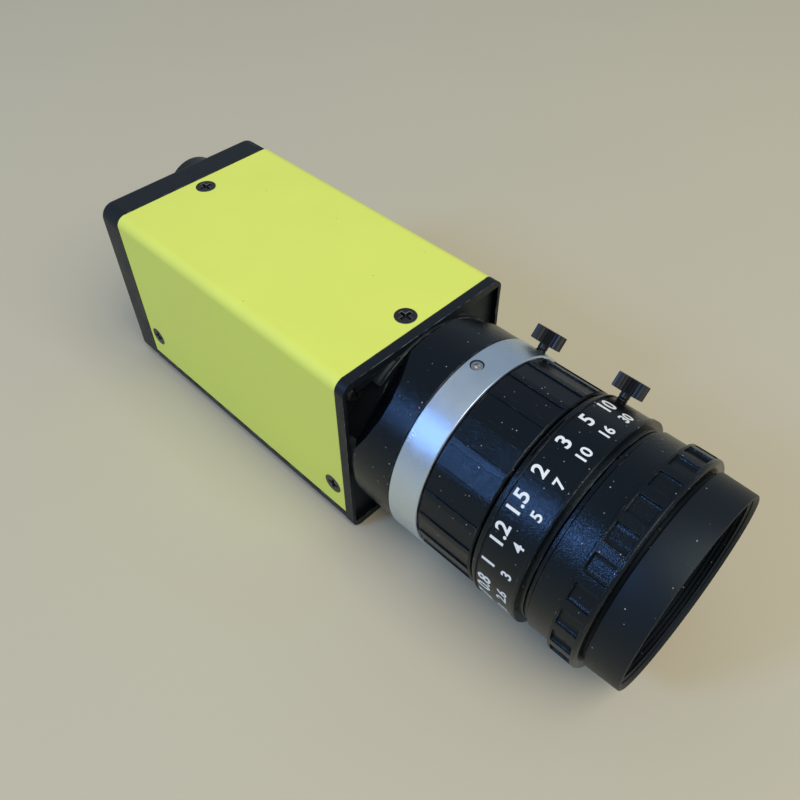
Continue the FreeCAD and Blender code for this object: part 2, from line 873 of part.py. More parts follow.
def front_housing():
    body = new_body("front_housing")
    pad(body, "frame", "y", [rectangle(-half_width, half_width, zero, body_height)],
        front, front + size["frame_depth"])
    round_edges(body, "frame_corners", size["frame_corner"], upright_corner)
    pad(body, "front_skirt", "y", [skirt_outline()],
        front + size["frame_depth"], front_skirt_end)
    round_skirt(body, "front_skirt_bends")
    outer = half_width - size["lip_side_width"]
    lip_inside = rectangle(-outer, outer, size["lip_width"],
                           body_height - size["lip_width"])
    pocket(body, "lip", "y", [lip_inside], front - BEYOND, front + size["lip_depth"])
    pad(body, "boss", "y", [circle(0, axis, size["boss_radius"])],
        front - size["boss_rise"], front + size["frame_depth"])
    pocket(body, "front_cavity", "y", [cavity_outline()],
           wall_back, front_skirt_end + BEYOND)
    pocket(body, "adapter_bore", "y",
           [circle(0, axis, spigot_radius + size["fit_clearance"])],
           front - size["boss_rise"] - BEYOND, wall_back + BEYOND)
    for side, name in zip(BOTH_SIDES, SIDE_NAMES):
        pocket(body, f"{name}_corner_pocket", "y", [corner_pocket(side)],
               front - size["boss_rise"] - BEYOND, front + size["pocket_depth"])
    radius = size["small_screw_radius"] + size["hole_clearance"]
    pocket(body, "front_screw_holes", "y", screw_hole_circles(FRONT_SCREWS, radius),
           front, wall_back + BEYOND)
    tapped_cover_holes(body, "front_cover_hole", [cover_screw_front])
    radius = size["screw_radius"] + size["hole_clearance"]
    near = [(across, station) for across, station in BASE_SCREWS[:2]]
    pocket(body, "front_base_holes", "z", screw_hole_circles(near, radius),
           skirt_bottom - BEYOND, cavity_bottom + BEYOND)
    return keep(body)


def lens_adapter():
    back = -size["front_wall"]
    seat = back + size["filter_shelf"] + size["mount_floor"]
    thread_floor = size["nose_length"] - size["mount_thread_depth"]
    outer = adapter_radius
    edge = size["edge_break"]
    profile = [
        (back, filter_radius + size["fit_clearance"]),
        (back, spigot_radius),
        (size["boss_rise"], spigot_radius),
        (size["boss_rise"], size["adapter_neck_radius"]),
        (adapter_back, size["adapter_neck_radius"]),
        (adapter_back, outer - edge),
        (adapter_back + edge, outer),
        (size["nose_length"] - edge, outer),
        (size["nose_length"], outer - edge),
        (size["nose_length"], size["mount_thread_radius"]),
        (thread_floor, size["mount_thread_radius"]),
        (thread_floor, filter_aperture),
        (seat, filter_aperture),
        (seat, filter_radius + size["fit_clearance"]),
    ]
    body = turned("lens_adapter", profile)
    floor = size["adapter_cut_floor"]
    reach = outer + BEYOND
    slope = size["adapter_corner_cut"]
    corners = [(size["boss_rise"] - BEYOND, floor), (adapter_back, floor),
               (adapter_back + slope, outer + edge), (adapter_back + slope, reach),
               (size["boss_rise"] - BEYOND, reach)]
    sketch = new_sketch(body, "corner_cut_sketch", "XY_Plane", [corners], about_axis(45))
    cut = body.newObject("PartDesign::Pocket", "corner_cut")
    cut.Profile = sketch
    cut.Midplane = True
    bind(cut, "Length", outer + reach)
    spread_round(body, cut, ADAPTER_CUTS)
    return keep(body)


def filter_pieces():
    seat = size["filter_shelf"] + size["mount_floor"] - size["front_wall"]
    back = seat - size["filter_thickness"]
    ring_front = back - size["seal_section"] * 2
    keep(turned("ir_filter", rectangle(back, seat, zero, filter_radius)))
    seal = document.addObject("Part::Torus", "filter_seal")
    seal.Label = "filter_seal"
    bind(seal, "Radius1", filter_radius - size["seal_section"])
    bind(seal, "Radius2", size["seal_section"])
    set_place(seal, 0, front - back + size["seal_section"], axis,
              Rotation(UP, BACKWARD))
    keep(seal)
    keep(ring("filter_retainer", ring_front - size["filter_ring_depth"], ring_front,
              filter_ring_bore, filter_radius))


def rear_cap():
    body = new_body("rear_cap")
    pad(body, "cap", "y", [rectangle(-half_width, half_width, zero, body_height)],
        rear - size["cap_depth"], rear)
    round_edges(body, "cap_corners", size["cap_corner"], upright_corner)
    back = value_of(rear)

    def on_rear_face(edge):
        return all(abs(vertex.Y - back) < SAME for vertex in edge.Vertexes)

    round_edges(body, "cap_rear_edge", size["cap_edge"], on_rear_face)
    pad(body, "rear_skirt", "y", [skirt_outline()],
        rear_skirt_start, rear - size["cap_depth"])
    round_skirt(body, "rear_skirt_bends")
    pocket(body, "rear_cavity", "y", [cavity_outline()],
           rear_skirt_start - BEYOND, rear_wall_inside)
    gap = size["socket_clearance"]
    half = size["socket_width"] / 2 + gap
    pocket(body, "socket_opening", "y",
           [rectangle(-half, half, size["socket_base"] - gap, socket_top + gap)],
           rear_skirt_start - BEYOND, rear + BEYOND)
    pocket(body, "connector_hole", "y",
           [circle(connector_across, connector_height,
                   connector_body + size["hole_clearance"])],
           rear_wall_inside - BEYOND, rear + BEYOND)
    pocket(body, "light_hole", "y",
           [circle(-size["light_across"], light_height,
                   size["light_radius"] + size["hole_clearance"])],
           rear_wall_inside - BEYOND, rear + BEYOND)
    lock_height = size["socket_base"] + size["socket_height"] / 2
    pocket(body, "lock_holes", "y",
           [circle(side * lock_hole_spread, lock_height,
                   size["lock_hole_radius"]) for side in BOTH_SIDES],
           rear_wall_inside - BEYOND, rear + BEYOND)
    tapped_cover_holes(body, "rear_cover_hole", [cover_screw_rear])
    radius = size["screw_radius"] + size["hole_clearance"]
    pocket(body, "rear_base_holes", "z", screw_hole_circles(BASE_SCREWS[2:], radius),
           skirt_bottom - BEYOND, cavity_bottom + BEYOND)
    return keep(body)


def base_plate():
    body = new_body("base_plate")
    bottom = zero
    top = size["floor_thickness"]
    pad(body, "floor", "z", [rectangle(-half_width, half_width, cover_front, cover_rear)],
        bottom, top)

    def low_edge(edge):
        return runs_along(edge, BACKWARD) and edge.CenterOfMass.z < SAME

    round_edges(body, "floor_corners", size["floor_corner"], low_edge)
    bosses = [(across * fixing_half_pitch, along * size["fixing_pitch_along"] / 2)
              for across in BOTH_SIDES for along in BOTH_SIDES]
    pad(body, "bosses", "z", screw_hole_circles(bosses, size["fixing_boss_radius"]),
        top - size["seam"], top + size["fixing_boss_rise"])
    for side, name in zip(BOTH_SIDES, SIDE_NAMES):
        inner, outer = skirt_half - size["rail_wall"], skirt_half
        across = (inner, outer) if side > 0 else (-outer, -inner)
        pad(body, f"{name}_rail", "z",
            [rectangle(*across, front_skirt_end + size["rail_clearance"],
                       rear_skirt_start - size["rail_clearance"])],
            top - size["seam"], top + size["rail_height"])
    pocket(body, "fixing_holes", "z", screw_hole_circles(bosses, size["fixing_radius"]),
           bottom - BEYOND, size["fixing_depth"])
    clearance = size["hole_clearance"]
    pocket(body, "base_screw_holes", "z",
           screw_hole_circles(BASE_SCREWS, size["screw_radius"] + clearance),
           bottom - BEYOND, top + BEYOND)
    pocket(body, "spreader_holes", "z", screw_hole_circles(
        spreader_screw_places(), size["small_screw_radius"] + clearance),
           top / 3, top + BEYOND)
    sinks = []
    for index, (across, station) in enumerate(BASE_SCREWS):
        sinks.append(countersink(f"base_sink_{index}", across, station, bottom, DOWN))
    return keep(cut_from("base_plate", body, sinks))


def countersink(name, x, y, z, direction):
    """The cone that a countersunk head leaves in a plate."""
    cone = document.addObject("Part::Cone", name)
    gap = size["hole_clearance"]
    bind(cone, "Radius1", size["screw_head_radius"] + gap)
    bind(cone, "Radius2", size["screw_radius"] + gap)
    bind(cone, "Height", size["screw_head_depth"])
    set_place(cone, x, y, z, Rotation(UP, direction.negative()))
    return cone


def cut_from(label, base, tools):
    """Take several tools away from a piece, which passes its label on."""
    base.Label = label + "_blank"
    tool = document.addObject("Part::Compound", label + "_tools")
    tool.Links = tools
    result = document.addObject("Part::Cut", label + "_cut")
    result.Base = base
    result.Tool = tool
    result.Label = label
    return result


def top_cover():
    body = new_body("top_cover")
    wall = size["cover_wall"]
    low = size["cover_low_edge"]
    inner_half = cover_half - wall
    inner_top = cover_top - wall
    outline = [(-cover_half, low), (-inner_half, low), (-inner_half, inner_top),
               (inner_half, inner_top), (inner_half, low), (cover_half, low),
               (cover_half, cover_top), (-cover_half, cover_top)]
    pad(body, "sheet", "y", [outline], cover_front, cover_rear)
    outer_top = value_of(cover_top)
    bend_inside = size["cover_bend"] - wall

    def outer_bend(edge):
        return runs_along(edge, BACKWARD) and abs(edge.CenterOfMass.z - outer_top) < SAME

    def inner_bend(edge):
        return (runs_along(edge, BACKWARD)
                and abs(edge.CenterOfMass.z - value_of(inner_top)) < SAME)

    round_edges(body, "outer_bends", size["cover_bend"], outer_bend)
    round_edges(body, "inner_bends", bend_inside, inner_bend)
    clearance = size["screw_radius"] + size["hole_clearance"]
    stations = (cover_screw_front, cover_screw_rear)
    pocket(body, "top_holes", "z", [circle(0, station, clearance) for station in stations],
           inner_top - BEYOND, cover_top + BEYOND)
    pocket(body, "side_holes", "x",
           [circle(station, side_screw, clearance) for station in stations],
           -cover_half - BEYOND, cover_half + BEYOND)
    sinks = []
    for index, (x, y, z, direction) in enumerate(COVER_SCREWS):
        sinks.append(countersink(f"cover_sink_{index}", x, y, z, direction))
    return keep(cut_from("top_cover", body, sinks))


def body_screws():
    members = []
    for index, (x, y, z, direction) in enumerate(COVER_SCREWS):
        members.append(countersunk(f"cover_screw_{index + 1}", size["screw_length"],
                                   (x, y, z, facing(direction))))
    keep(group("cover_screws", members))
    members = []
    for index, (across, station) in enumerate(BASE_SCREWS):
        members.append(countersunk(f"base_screw_{index + 1}", size["base_screw_length"],
                                   (across, station, 0, facing(DOWN))))
    keep(group("base_screws", members))
    members = []
    head_top = front + size["pocket_depth"] - size["small_head_depth"]
    for index, (across, up) in enumerate(FRONT_SCREWS):
        members.append(pan_head(f"front_screw_{index + 1}", size["front_screw_length"],
                                (across, head_top, up, facing(FORWARD))))
    keep(group("front_screws", members))


# --- sensor and circuit boards ---------------------------------------------------------
def sensor_holder():
    body = new_body("sensor_holder")
    start = wall_back + size["seam"]
    pad(body, "holder", "y", [about_lens_axis(holder_half, holder_half_up)],
        start, board_front)
    pocket(body, "light_tunnel", "y", [about_lens_axis(tunnel_half, tunnel_half_up)],
           start + size["holder_window_depth"], board_front + BEYOND)
    ledge = size["holder_window_ledge"]
    pocket(body, "light_window", "y",
           [about_lens_axis(tunnel_half - ledge, tunnel_half_up - ledge)],
           start - BEYOND, start + size["holder_window_depth"] + BEYOND)
    radius = size["small_screw_radius"] + size["hole_clearance"]
    pocket(body, "holder_front_holes", "y", screw_hole_circles(FRONT_SCREWS, radius),
           start - BEYOND, front + size["pocket_depth"] + size["front_screw_length"]
           + size["seam"] * 2)
    pocket(body, "holder_rear_holes", "y", screw_hole_circles(STACK_HOLES, radius),
           board_front - size["standoff_stud"] + size["board_thickness"] - size["seam"],
           board_front + BEYOND)
    return keep(body)


def circuit_board(name, start):
    """An upright board with a hole for each standoff."""
    body = new_body(name)
    pad(body, name + "_sheet", "y", [about_lens_axis(board_half, board_half_up)],
        start, start + size["board_thickness"])
    pocket(body, name + "_holes", "y", screw_hole_circles(
        STACK_HOLES, size["small_screw_radius"] + size["hole_clearance"]),
           start - BEYOND, start + size["board_thickness"] + BEYOND)
    return keep(body)


def board_standoffs():
    members = []
    for index, (across, up) in enumerate(STACK_HOLES):
        body = new_body(f"board_standoff_{index + 1}")
        pad(body, f"standoff_hex_{index}", "y", [hexagon(size["standoff_flats"], across, up)],
            stack_front, processor_front)
        pad(body, f"standoff_stud_{index}", "y",
            [circle(across, up, size["small_screw_radius"])],
            stack_front - size["standoff_stud"], stack_front + size["seam"])
        pocket(body, f"standoff_thread_{index}", "y",
               [circle(across, up, size["small_screw_radius"] + size["hole_clearance"])],
               processor_front - size["standoff_stud"], processor_front + BEYOND)
        members.append(body)
    keep(group("board_standoffs", members))


def spreader_screw_places():
    station = spreader_front + size["spreader_thickness"] + size["spreader_foot"] / 2
    return [(side * size["spreader_screw_spread"], station) for side in BOTH_SIDES]


def board_parts():
    """Everything that sits on the circuit boards."""
    sensor_back = board_front
    sensor_front = sensor_back - size["sensor_thickness"]
    half = tunnel_half - size["sensor_side_room"]
    half_up = tunnel_half_up - size["sensor_end_room"]
    keep(box("image_sensor", (-half, half), (sensor_front, sensor_back),
             (axis - half_up, axis + half_up)))
    half = half - size["glass_margin"]
    half_up = half_up - size["glass_margin"]
    keep(box("sensor_window", (-half, half),
             (sensor_front - size["glass_thickness"], sensor_front),
             (axis - half_up, axis + half_up)))

    chip_half = size["chip_width"] / 2
    chips = [box("processor_chip", (-chip_half, chip_half),
                 (processor_back, processor_back + size["chip_thickness"]),
                 (axis - chip_half, axis + chip_half))]
    for index, side in enumerate(BOTH_SIDES):
        chips.append(box(f"memory_chip_{index + 1}",
                         centred(side * size["memory_offset"], size["memory_width"]),
                         (processor_front - size["memory_thickness"], processor_front),
                         centred(axis + size["memory_offset"], size["memory_height"])))
    keep(group("circuit_chips", chips))

    keep(box("thermal_pad", (-chip_half, chip_half),
             (processor_back + size["chip_thickness"], spreader_front),
             (axis - chip_half, axis + chip_half)))

    header_height = centred(axis - size["header_drop"], size["header_height"])
    flex_half = size["flex_connector_width"] / 2
    flex_end = processor_back + size["flex_connector_depth"] + size["flex_run"]
    header_half = board_hole_across - size["header_side_gap"]
    connectors = [
        box("stack_header", (-header_half, header_half),
            (stack_front, processor_front), header_height),
        box("flex_connector_1", (-flex_half, flex_half),
            (processor_back, processor_back + size["flex_connector_depth"]),
            centred(flex_height, size["flex_connector_height"])),
        box("flex_connector_2", (-flex_half, flex_half),
            centred(flex_end, size["flex_connector_height"]),
            (interface_top, interface_top + size["flex_connector_depth"])),
    ]
    keep(group("board_connectors", connectors))

    body = new_body("flex_circuit")
    start = processor_back + size["flex_connector_depth"]
    half = size["flex_thickness"] / 2
    low = interface_top + size["flex_connector_depth"]
    middle = flex_height
    outline = [(start, middle - half), (flex_end - half, middle - half),
               (flex_end - half, low), (flex_end + half, low),
               (flex_end + half, middle + half), (start, middle + half)]
    pad(body, "flex_strip", "x", [outline], -size["flex_width"] / 2, size["flex_width"] / 2)
    keep(body)


def heat_spreader():
    body = new_body("heat_spreader")
    half = size["spreader_width"] / 2
    floor = size["floor_thickness"]
    thick = size["spreader_thickness"]
    foot_end = spreader_front + thick + size["spreader_foot"]
    top = axis + size["chip_width"] / 2 + size["spreader_rise"]
    outline = [(spreader_front, floor), (foot_end, floor), (foot_end, floor + thick),
               (spreader_front + thick, floor + thick),
               (spreader_front + thick, top), (spreader_front, top)]
    pad(body, "spreader", "x", [outline], -half, half)
    pocket(body, "spreader_screw_holes", "z", screw_hole_circles(
        spreader_screw_places(), size["small_screw_radius"] + size["hole_clearance"]),
           floor - BEYOND, floor + thick + BEYOND)
    return keep(body)


def board_screws():
    members = []
    head_top = processor_back + size["small_head_depth"]
    length = size["standoff_stud"]
    for index, (across, up) in enumerate(STACK_HOLES):
        members.append(pan_head(f"stack_screw_{index + 1}", length,
                                (across, head_top, up, facing(BACKWARD))))
    top = size["floor_thickness"] + size["spreader_thickness"] + size["small_head_depth"]
    length = size["spreader_thickness"] + size["floor_thickness"] / 2
    for index, (across, station) in enumerate(spreader_screw_places()):
        members.append(pan_head(f"spreader_screw_{index + 1}", length,
                                (across, station, top, facing(UP))))
    keep(group("board_screws", members))


# --- rear sockets ----------------------------------------------------------------------
def network_socket():
    shell = new_body("network_socket")
    half = size["socket_width"] / 2
    wall = size["socket_wall"]
    low = size["socket_base"]
    mouth = rear + size["socket_proud"]
    back = mouth - size["socket_length"]
    pad(shell, "socket_can", "y", [rectangle(-half, half, low, socket_top)], back, mouth)
    pocket(shell, "socket_room", "y",
           [rectangle(-half + wall, half - wall, low + wall, socket_top - wall)],
           back + wall, mouth + BEYOND)
    keep(shell)

    insert = new_body("socket_insert")
    gap = wall + size["fit_clearance"]
    face = mouth - size["socket_proud"]
    pad(insert, "insert_block", "y",
        [rectangle(-half + gap, half - gap, low + gap, socket_top - gap)],
        back + gap, face)
    plug_low = low + size["plug_base"]
    plug_top = plug_low + size["plug_height"]
    plug_half = size["plug_width"] / 2
    latch_half = size["latch_width"] / 2
    pocket(insert, "plug_room", "y",
           [rectangle(-plug_half, plug_half, plug_low, plug_top)],
           face - size["plug_depth"], face + BEYOND)
    pocket(insert, "latch_room", "y",
           [rectangle(-latch_half, latch_half, plug_top - size["seam"],
                      plug_top + size["latch_height"])],
           face - size["plug_depth"], face + BEYOND)
    keep(insert)

    contacts = []
    start = face - size["plug_depth"]
    for index in range(SOCKET_CONTACTS):
        middle = size["contact_pitch"] * (index - (SOCKET_CONTACTS - 1) / 2)
        contacts.append(box(f"socket_contact_{index + 1}",
                            centred(middle, size["contact_width"]),
                            (start, start + size["contact_length"]),
                            (plug_low, plug_low + size["contact_height"])))
    keep(group("socket_contacts", contacts))


def power_connector():
    place = (connector_across, rear, connector_height, REAR_TURN)
    edge = size["edge_break"] * 2
    outer = size["connector_radius"]
    bore = connector_bore
    body_radius = connector_body
    length = size["connector_length"]
    tail = -size["connector_tail"]
    profile = [(tail, bore), (tail, body_radius), (0, body_radius), (0, outer),
               (length - edge, outer), (length, outer - edge), (length, bore)]
    keep(turned("power_connector_shell", profile, place))

    nut = new_body("power_connector_nut")
    across, up = connector_across, connector_height
    pad(nut, "nut_hex", "y", [hexagon((connector_body + size["nut_wall"]) * 2, across, up)],
        rear_wall_inside - size["nut_thickness"], rear_wall_inside)
    pocket(nut, "nut_bore", "y", [circle(across, up, body_radius + size["hole_clearance"])],
           rear_wall_inside - size["nut_thickness"] - BEYOND, rear_wall_inside + BEYOND)
    keep(nut)

    insert = turned("power_connector_insert", rectangle(
        size["insert_proud"] - size["insert_length"], size["insert_proud"], zero,
        bore - size["fit_clearance"]), place)
    pin_places = []          # each one's height above the socket's axis, then its side
    for index in range(CONNECTOR_PINS):
        angle = math.radians(30 + 360 / CONNECTOR_PINS * index)
        pin_places.append((pin_circle * math.cos(angle),
                           pin_circle * math.sin(angle)))
    pocket(insert, "insert_pin_holes", "x", screw_hole_circles(
        pin_places, size["pin_radius"] + size["fit_clearance"] / 2),
           size["insert_proud"] - size["insert_length"] - BEYOND,
           size["insert_proud"] + BEYOND)
    keep(insert)

    pins = []
    for index, (up, side) in enumerate(pin_places):
        pin = document.addObject("Part::Cylinder", f"power_pin_{index + 1}")
        bind(pin, "Radius", size["pin_radius"])
        bind(pin, "Height", size["insert_length"] + size["pin_length"] + size["pin_tail"])
        start = rear + size["insert_proud"] - size["insert_length"] - size["pin_tail"]
        set_place(pin, connector_across + side, start,
                  connector_height + up, Rotation(UP, BACKWARD))
        pins.append(pin)
    keep(group("power_connector_pins", pins))


def status_light():
    place = (-size["light_across"], rear, light_height, REAR_TURN)
    profile = rectangle(-size["light_length"], size["light_proud"], zero,
                        size["light_radius"])
    keep(turned("status_light_pipe", profile, place))
    led_rear = rear - size["light_length"] - size["interface_gap"]
    keep(box("status_led", centred(-size["light_across"], size["led_width"]),
             (led_rear - size["led_depth"], led_rear),
             (interface_top, light_height + size["light_radius"] / 2)))


def interface_board():
    half = cavity_half - size["interface_side_gap"]
    keep(box("interface_board", (-half, half),
             (interface_front, interface_rear), (interface_bottom, interface_top)))


# --- lens: fixed pieces ----------------------------------------------------------------
def lens_mount():
    stub_back = size["nose_length"] - size["mount_stub_length"]
    stub = size["mount_thread_radius"] - size["fit_clearance"]
    outer = mount_radius
    edge = size["edge_break"]
    floor_front = size["nose_length"] + size["mount_floor"]
    sleeve_room = sleeve_radius + size["sleeve_clearance"]
    profile = [
        (stub_back, size["mount_tail_bore"]),
        (stub_back, stub - edge * 2),
        (stub_back + edge * 2, stub),
        (size["nose_length"], stub),
        (size["nose_length"], outer - edge),
        (size["nose_length"] + edge, outer),
        (mount_front - edge, outer),
        (mount_front, outer - edge),
        (mount_front, sleeve_room),
        (mount_grip_end, sleeve_room),
        (mount_grip_end, size["barrel_radius"]),
        (floor_front, size["barrel_radius"]),
        (floor_front, size["mount_tail_bore"]),
    ]
    body = turned("lens_mount", profile)
    radius = size["set_screw_radius"] + size["hole_clearance"]
    forward = size["nose_length"] + size["set_screw_back"]
    for index in range(SET_SCREWS):
        angle = value_of(size["set_screw_angle"]) + 360 / SET_SCREWS * index
        radial_hole(body, f"set_screw_hole_{index + 1}", forward, angle, radius,
                    outer + BEYOND)
    radial_hole(body, "iris_lock_hole", iris_lock_forward, size["lock_angle"],
                size["lock_radius"] + size["fit_clearance"], outer + BEYOND)
    return keep(body)


def radial_place(forward, angle):
    """The place of a piece that points away from the lens axis."""
    turn = math.radians(value_of(angle))
    outward = Vector(-math.sin(turn), 0, math.cos(turn))
    sideways = outward.cross(FORWARD)
    return (0, front - forward, axis, Rotation(outward, FORWARD, sideways))


def mount_set_screws():
    members = []
    forward = size["nose_length"] + size["set_screw_back"]
    top = mount_radius - size["set_screw_sunk"]
    for index in range(SET_SCREWS):
        angle = value_of(size["set_screw_angle"]) + 360 / SET_SCREWS * index
        name = f"mount_set_screw_{index + 1}"
        body = turned(name, rectangle(size["barrel_radius"], top, zero,
                                      size["set_screw_radius"]),
                      radial_place(forward, angle))
        pocket(body, name + "_socket", "x", [hexagon(size["socket_hex"])],
               top - size["recess_depth"] * 2, top + BEYOND)
        members.append(body)
    keep(group("mount_set_screws", members))


def inner_barrel():
    floor_front = size["nose_length"] + size["mount_floor"]
    lens_bore = rear_lens_radius + size["fit_clearance"]
    stop_end = barrel_stop_start + size["barrel_stop_length"]
    profile = [
        (barrel_tail_back, lens_bore),
        (barrel_tail_back, size["barrel_tail_radius"]),
        (floor_front, size["barrel_tail_radius"]),
        (floor_front, size["barrel_radius"]),
        (barrel_end, size["barrel_radius"]),
        (barrel_end, barrel_bore),
        (barrel_shelf, barrel_bore),
        (barrel_shelf, size["barrel_waist_bore"]),
        (stop_end, size["barrel_waist_bore"]),
        (stop_end, size["barrel_stop_bore"]),
        (barrel_stop_start, size["barrel_stop_bore"]),
        (barrel_stop_start, lens_bore),
    ]
    body = turned("inner_barrel", profile)
    half = size["drive_pin_radius"] + size["sleeve_clearance"] * 2
    slot = rectangle(drive_pin_forward - half, drive_pin_forward + half,
                     barrel_bore - BEYOND / 2, size["barrel_radius"] + BEYOND)
    middle = size["drive_pin_angle"] + size["iris_turn"] / 2
    sector_cut(body, "drive_pin_slot", slot,
               size["iris_turn"] + size["drive_slot_margin"] * 2, middle)
    radial_hole(body, "focus_lock_way", focus_lock_forward, size["lock_angle"],
                size["lock_radius"] + size["fit_clearance"], size["barrel_radius"] + BEYOND)
    radial_hole(body, "key_hole", key_forward, 180,
                size["key_radius"] + size["key_clearance"], size["barrel_radius"] + BEYOND)
    return keep(body)


def lens_element(name, start, thickness, radius, curve, bulge):
    """A round glass with one curved face; bulge 1 curves its front, -1 its back."""
    disc = document.addObject("Part::Cylinder", name + "_disc")
    bind(disc, "Radius", radius)
    bind(disc, "Height", thickness)
    set_place(disc, 0, front - start, axis, Rotation(UP, FORWARD))
    ball = document.addObject("Part::Sphere", name + "_ball")
    bind(ball, "Radius", curve)
    vertex = start + thickness if bulge > 0 else start
    set_place(ball, 0, front - (vertex - bulge * curve), axis, Rotation())
    glass = document.addObject("Part::Common", name)
    glass.Base = disc
    glass.Tool = ball
    glass.Label = name
    return keep(glass)


def rear_glass():
    lens_element("rear_lens", rear_lens_back, size["rear_lens_thickness"],
                 rear_lens_radius, size["rear_lens_curve"], -1)
    keep(ring("rear_lens_retainer", barrel_tail_back,
              barrel_tail_back + size["rear_ring_depth"],
              size["barrel_stop_bore"], rear_lens_radius))


def name_band():
    bead_back = band_back + size["band_back_length"]
    bead_front = bead_back + size["band_bead_width"]
    neck_back = band_front - size["band_neck_length"]
    flange_back = neck_back - size["band_flange_width"]
    profile = [
        (band_back, size["barrel_radius"]),
        (band_back, band_back_radius),
        (bead_back, band_back_radius),
        (bead_back, band_bead_radius),
        (bead_front, band_bead_radius),
        (bead_front, band_radius),
        (flange_back, band_radius),
        (flange_back, band_flange_radius),
        (neck_back, band_flange_radius),
        (neck_back, band_neck_radius),
        (band_front, band_neck_radius),
        (band_front, size["barrel_radius"]),
    ]
    body = turned("name_band", profile)
    radial_hole(body, "focus_lock_hole", focus_lock_forward, size["lock_angle"],
                size["lock_radius"] + size["fit_clearance"],
                band_flange_radius + BEYOND)
    return keep(body)


def guide_key():
    top = size["barrel_radius"] - size["key_sunk"]
    keep(ring("guide_key", top - size["key_reach"], top, zero, size["key_radius"],
              radial_place(key_forward, 180)))


def focus_washer():
    keep(ring("focus_washer", focus_back + size["focus_flange"] + size["ring_gap"],
              barrel_end, size["barrel_radius"], focus_washer_radius))


# --- lens: iris ------------------------------------------------------------------------
def iris_ring():
    outer = iris_ring_radius
    edge = size["edge_break"]
    sleeve_back = mount_grip_end + size["ring_gap"]
    profile = [
        (sleeve_back, running_bore),
        (sleeve_back, sleeve_radius),
        (iris_back, sleeve_radius),
        (iris_back, outer - edge),
        (iris_back + edge, outer),
        (iris_front - edge * 2, outer),
        (iris_front, outer - edge * 2),
        (iris_front, running_bore),
    ]
    body = turned("iris_ring", profile)
    floor = outer - size["iris_flat_depth"]
    half = outer * math.sin(math.radians(value_of(size["iris_flat_angle"]) / 2))
    sketch = new_sketch(body, "iris_flat_sketch", "YZ_Plane",
                        [rectangle(floor, outer + BEYOND, -half, half)],
                        Placement(Vector(), Rotation(UP, value_of(size["iris_flat_first"]))))
    bind(sketch, "AttachmentOffset.Base.z", iris_back - BEYOND)
    flat = body.newObject("PartDesign::Pocket", "iris_flat")
    flat.Profile = sketch
    bind(flat, "Length", size["iris_ring_length"] - size["iris_flat_rim"] + BEYOND)
    flat.Reversed = True
    spread_round(body, flat, IRIS_FLATS)
    radial_hole(body, "drive_pin_hole", drive_pin_forward, size["drive_pin_angle"],
                size["drive_pin_radius"] + size["hole_clearance"], outer + BEYOND)
    return keep(body)


def drive_pin():
    outer = iris_ring_radius - size["drive_pin_sunk"]
    inner = iris_part_radius - size["drive_pin_sunk"]
    keep(ring("iris_drive_pin", inner, outer, zero, size["drive_pin_radius"],
              radial_place(drive_pin_forward, size["drive_pin_angle"])))


def blade_station(index):
    """How far forward one blade's back face lies."""
    first = barrel_shelf + size["cage_thickness"] + size["blade_lift"]
    return first + size["blade_pitch"] * index


def blade_angle(index):
    return 360 / BLADES * index


def lens_point(radius, angle):
    """Across and up of a point about the lens axis, angle 0 up, positive to the left."""
    turn = math.radians(angle)
    return -math.sin(turn) * radius, math.cos(turn) * radius


def iris_cage():
    body = ring("iris_cage", barrel_shelf,
                barrel_shelf + size["cage_thickness"],
                size["iris_aperture"], iris_part_radius)
    holes = []
    for index in range(BLADES):
        turn = math.radians(blade_angle(index))
        circle_radius = blade_pivot_circle
        holes.append((circle_radius * math.cos(turn), circle_radius * math.sin(turn)))
    pocket(body, "pivot_holes", "x", screw_hole_circles(
        holes, size["blade_pin_radius"] + size["fit_clearance"]),
           barrel_shelf - BEYOND,
           barrel_shelf + size["cage_thickness"] + BEYOND)
    return keep(body)


def blade_pin(name, radius, angle, start, end):
    pin = document.addObject("Part::Cylinder", name)
    across, up = lens_point(value_of(radius), angle)
    bind(pin, "Radius", size["blade_pin_radius"])
    bind(pin, "Height", end - start)
    set_place(pin, across, front - start, axis + up, Rotation(UP, FORWARD))
    return pin


def drive_pin_place(swing):
    """Radius and angle of a blade's drive pin, its pivot at angle 0.

    The arm points sideways, a little inwards with the iris open and a little
    outwards with it shut.
    """
    pivot = value_of(blade_pivot_circle)
    arm = value_of(size["blade_drive_arm"])
    turn = math.radians(90 + value_of(size["blade_swing"]) / 2 - swing)
    outward = pivot + arm * math.cos(turn)
    sideways = arm * math.sin(turn)
    return math.hypot(outward, sideways), -math.degrees(math.atan2(sideways, outward))


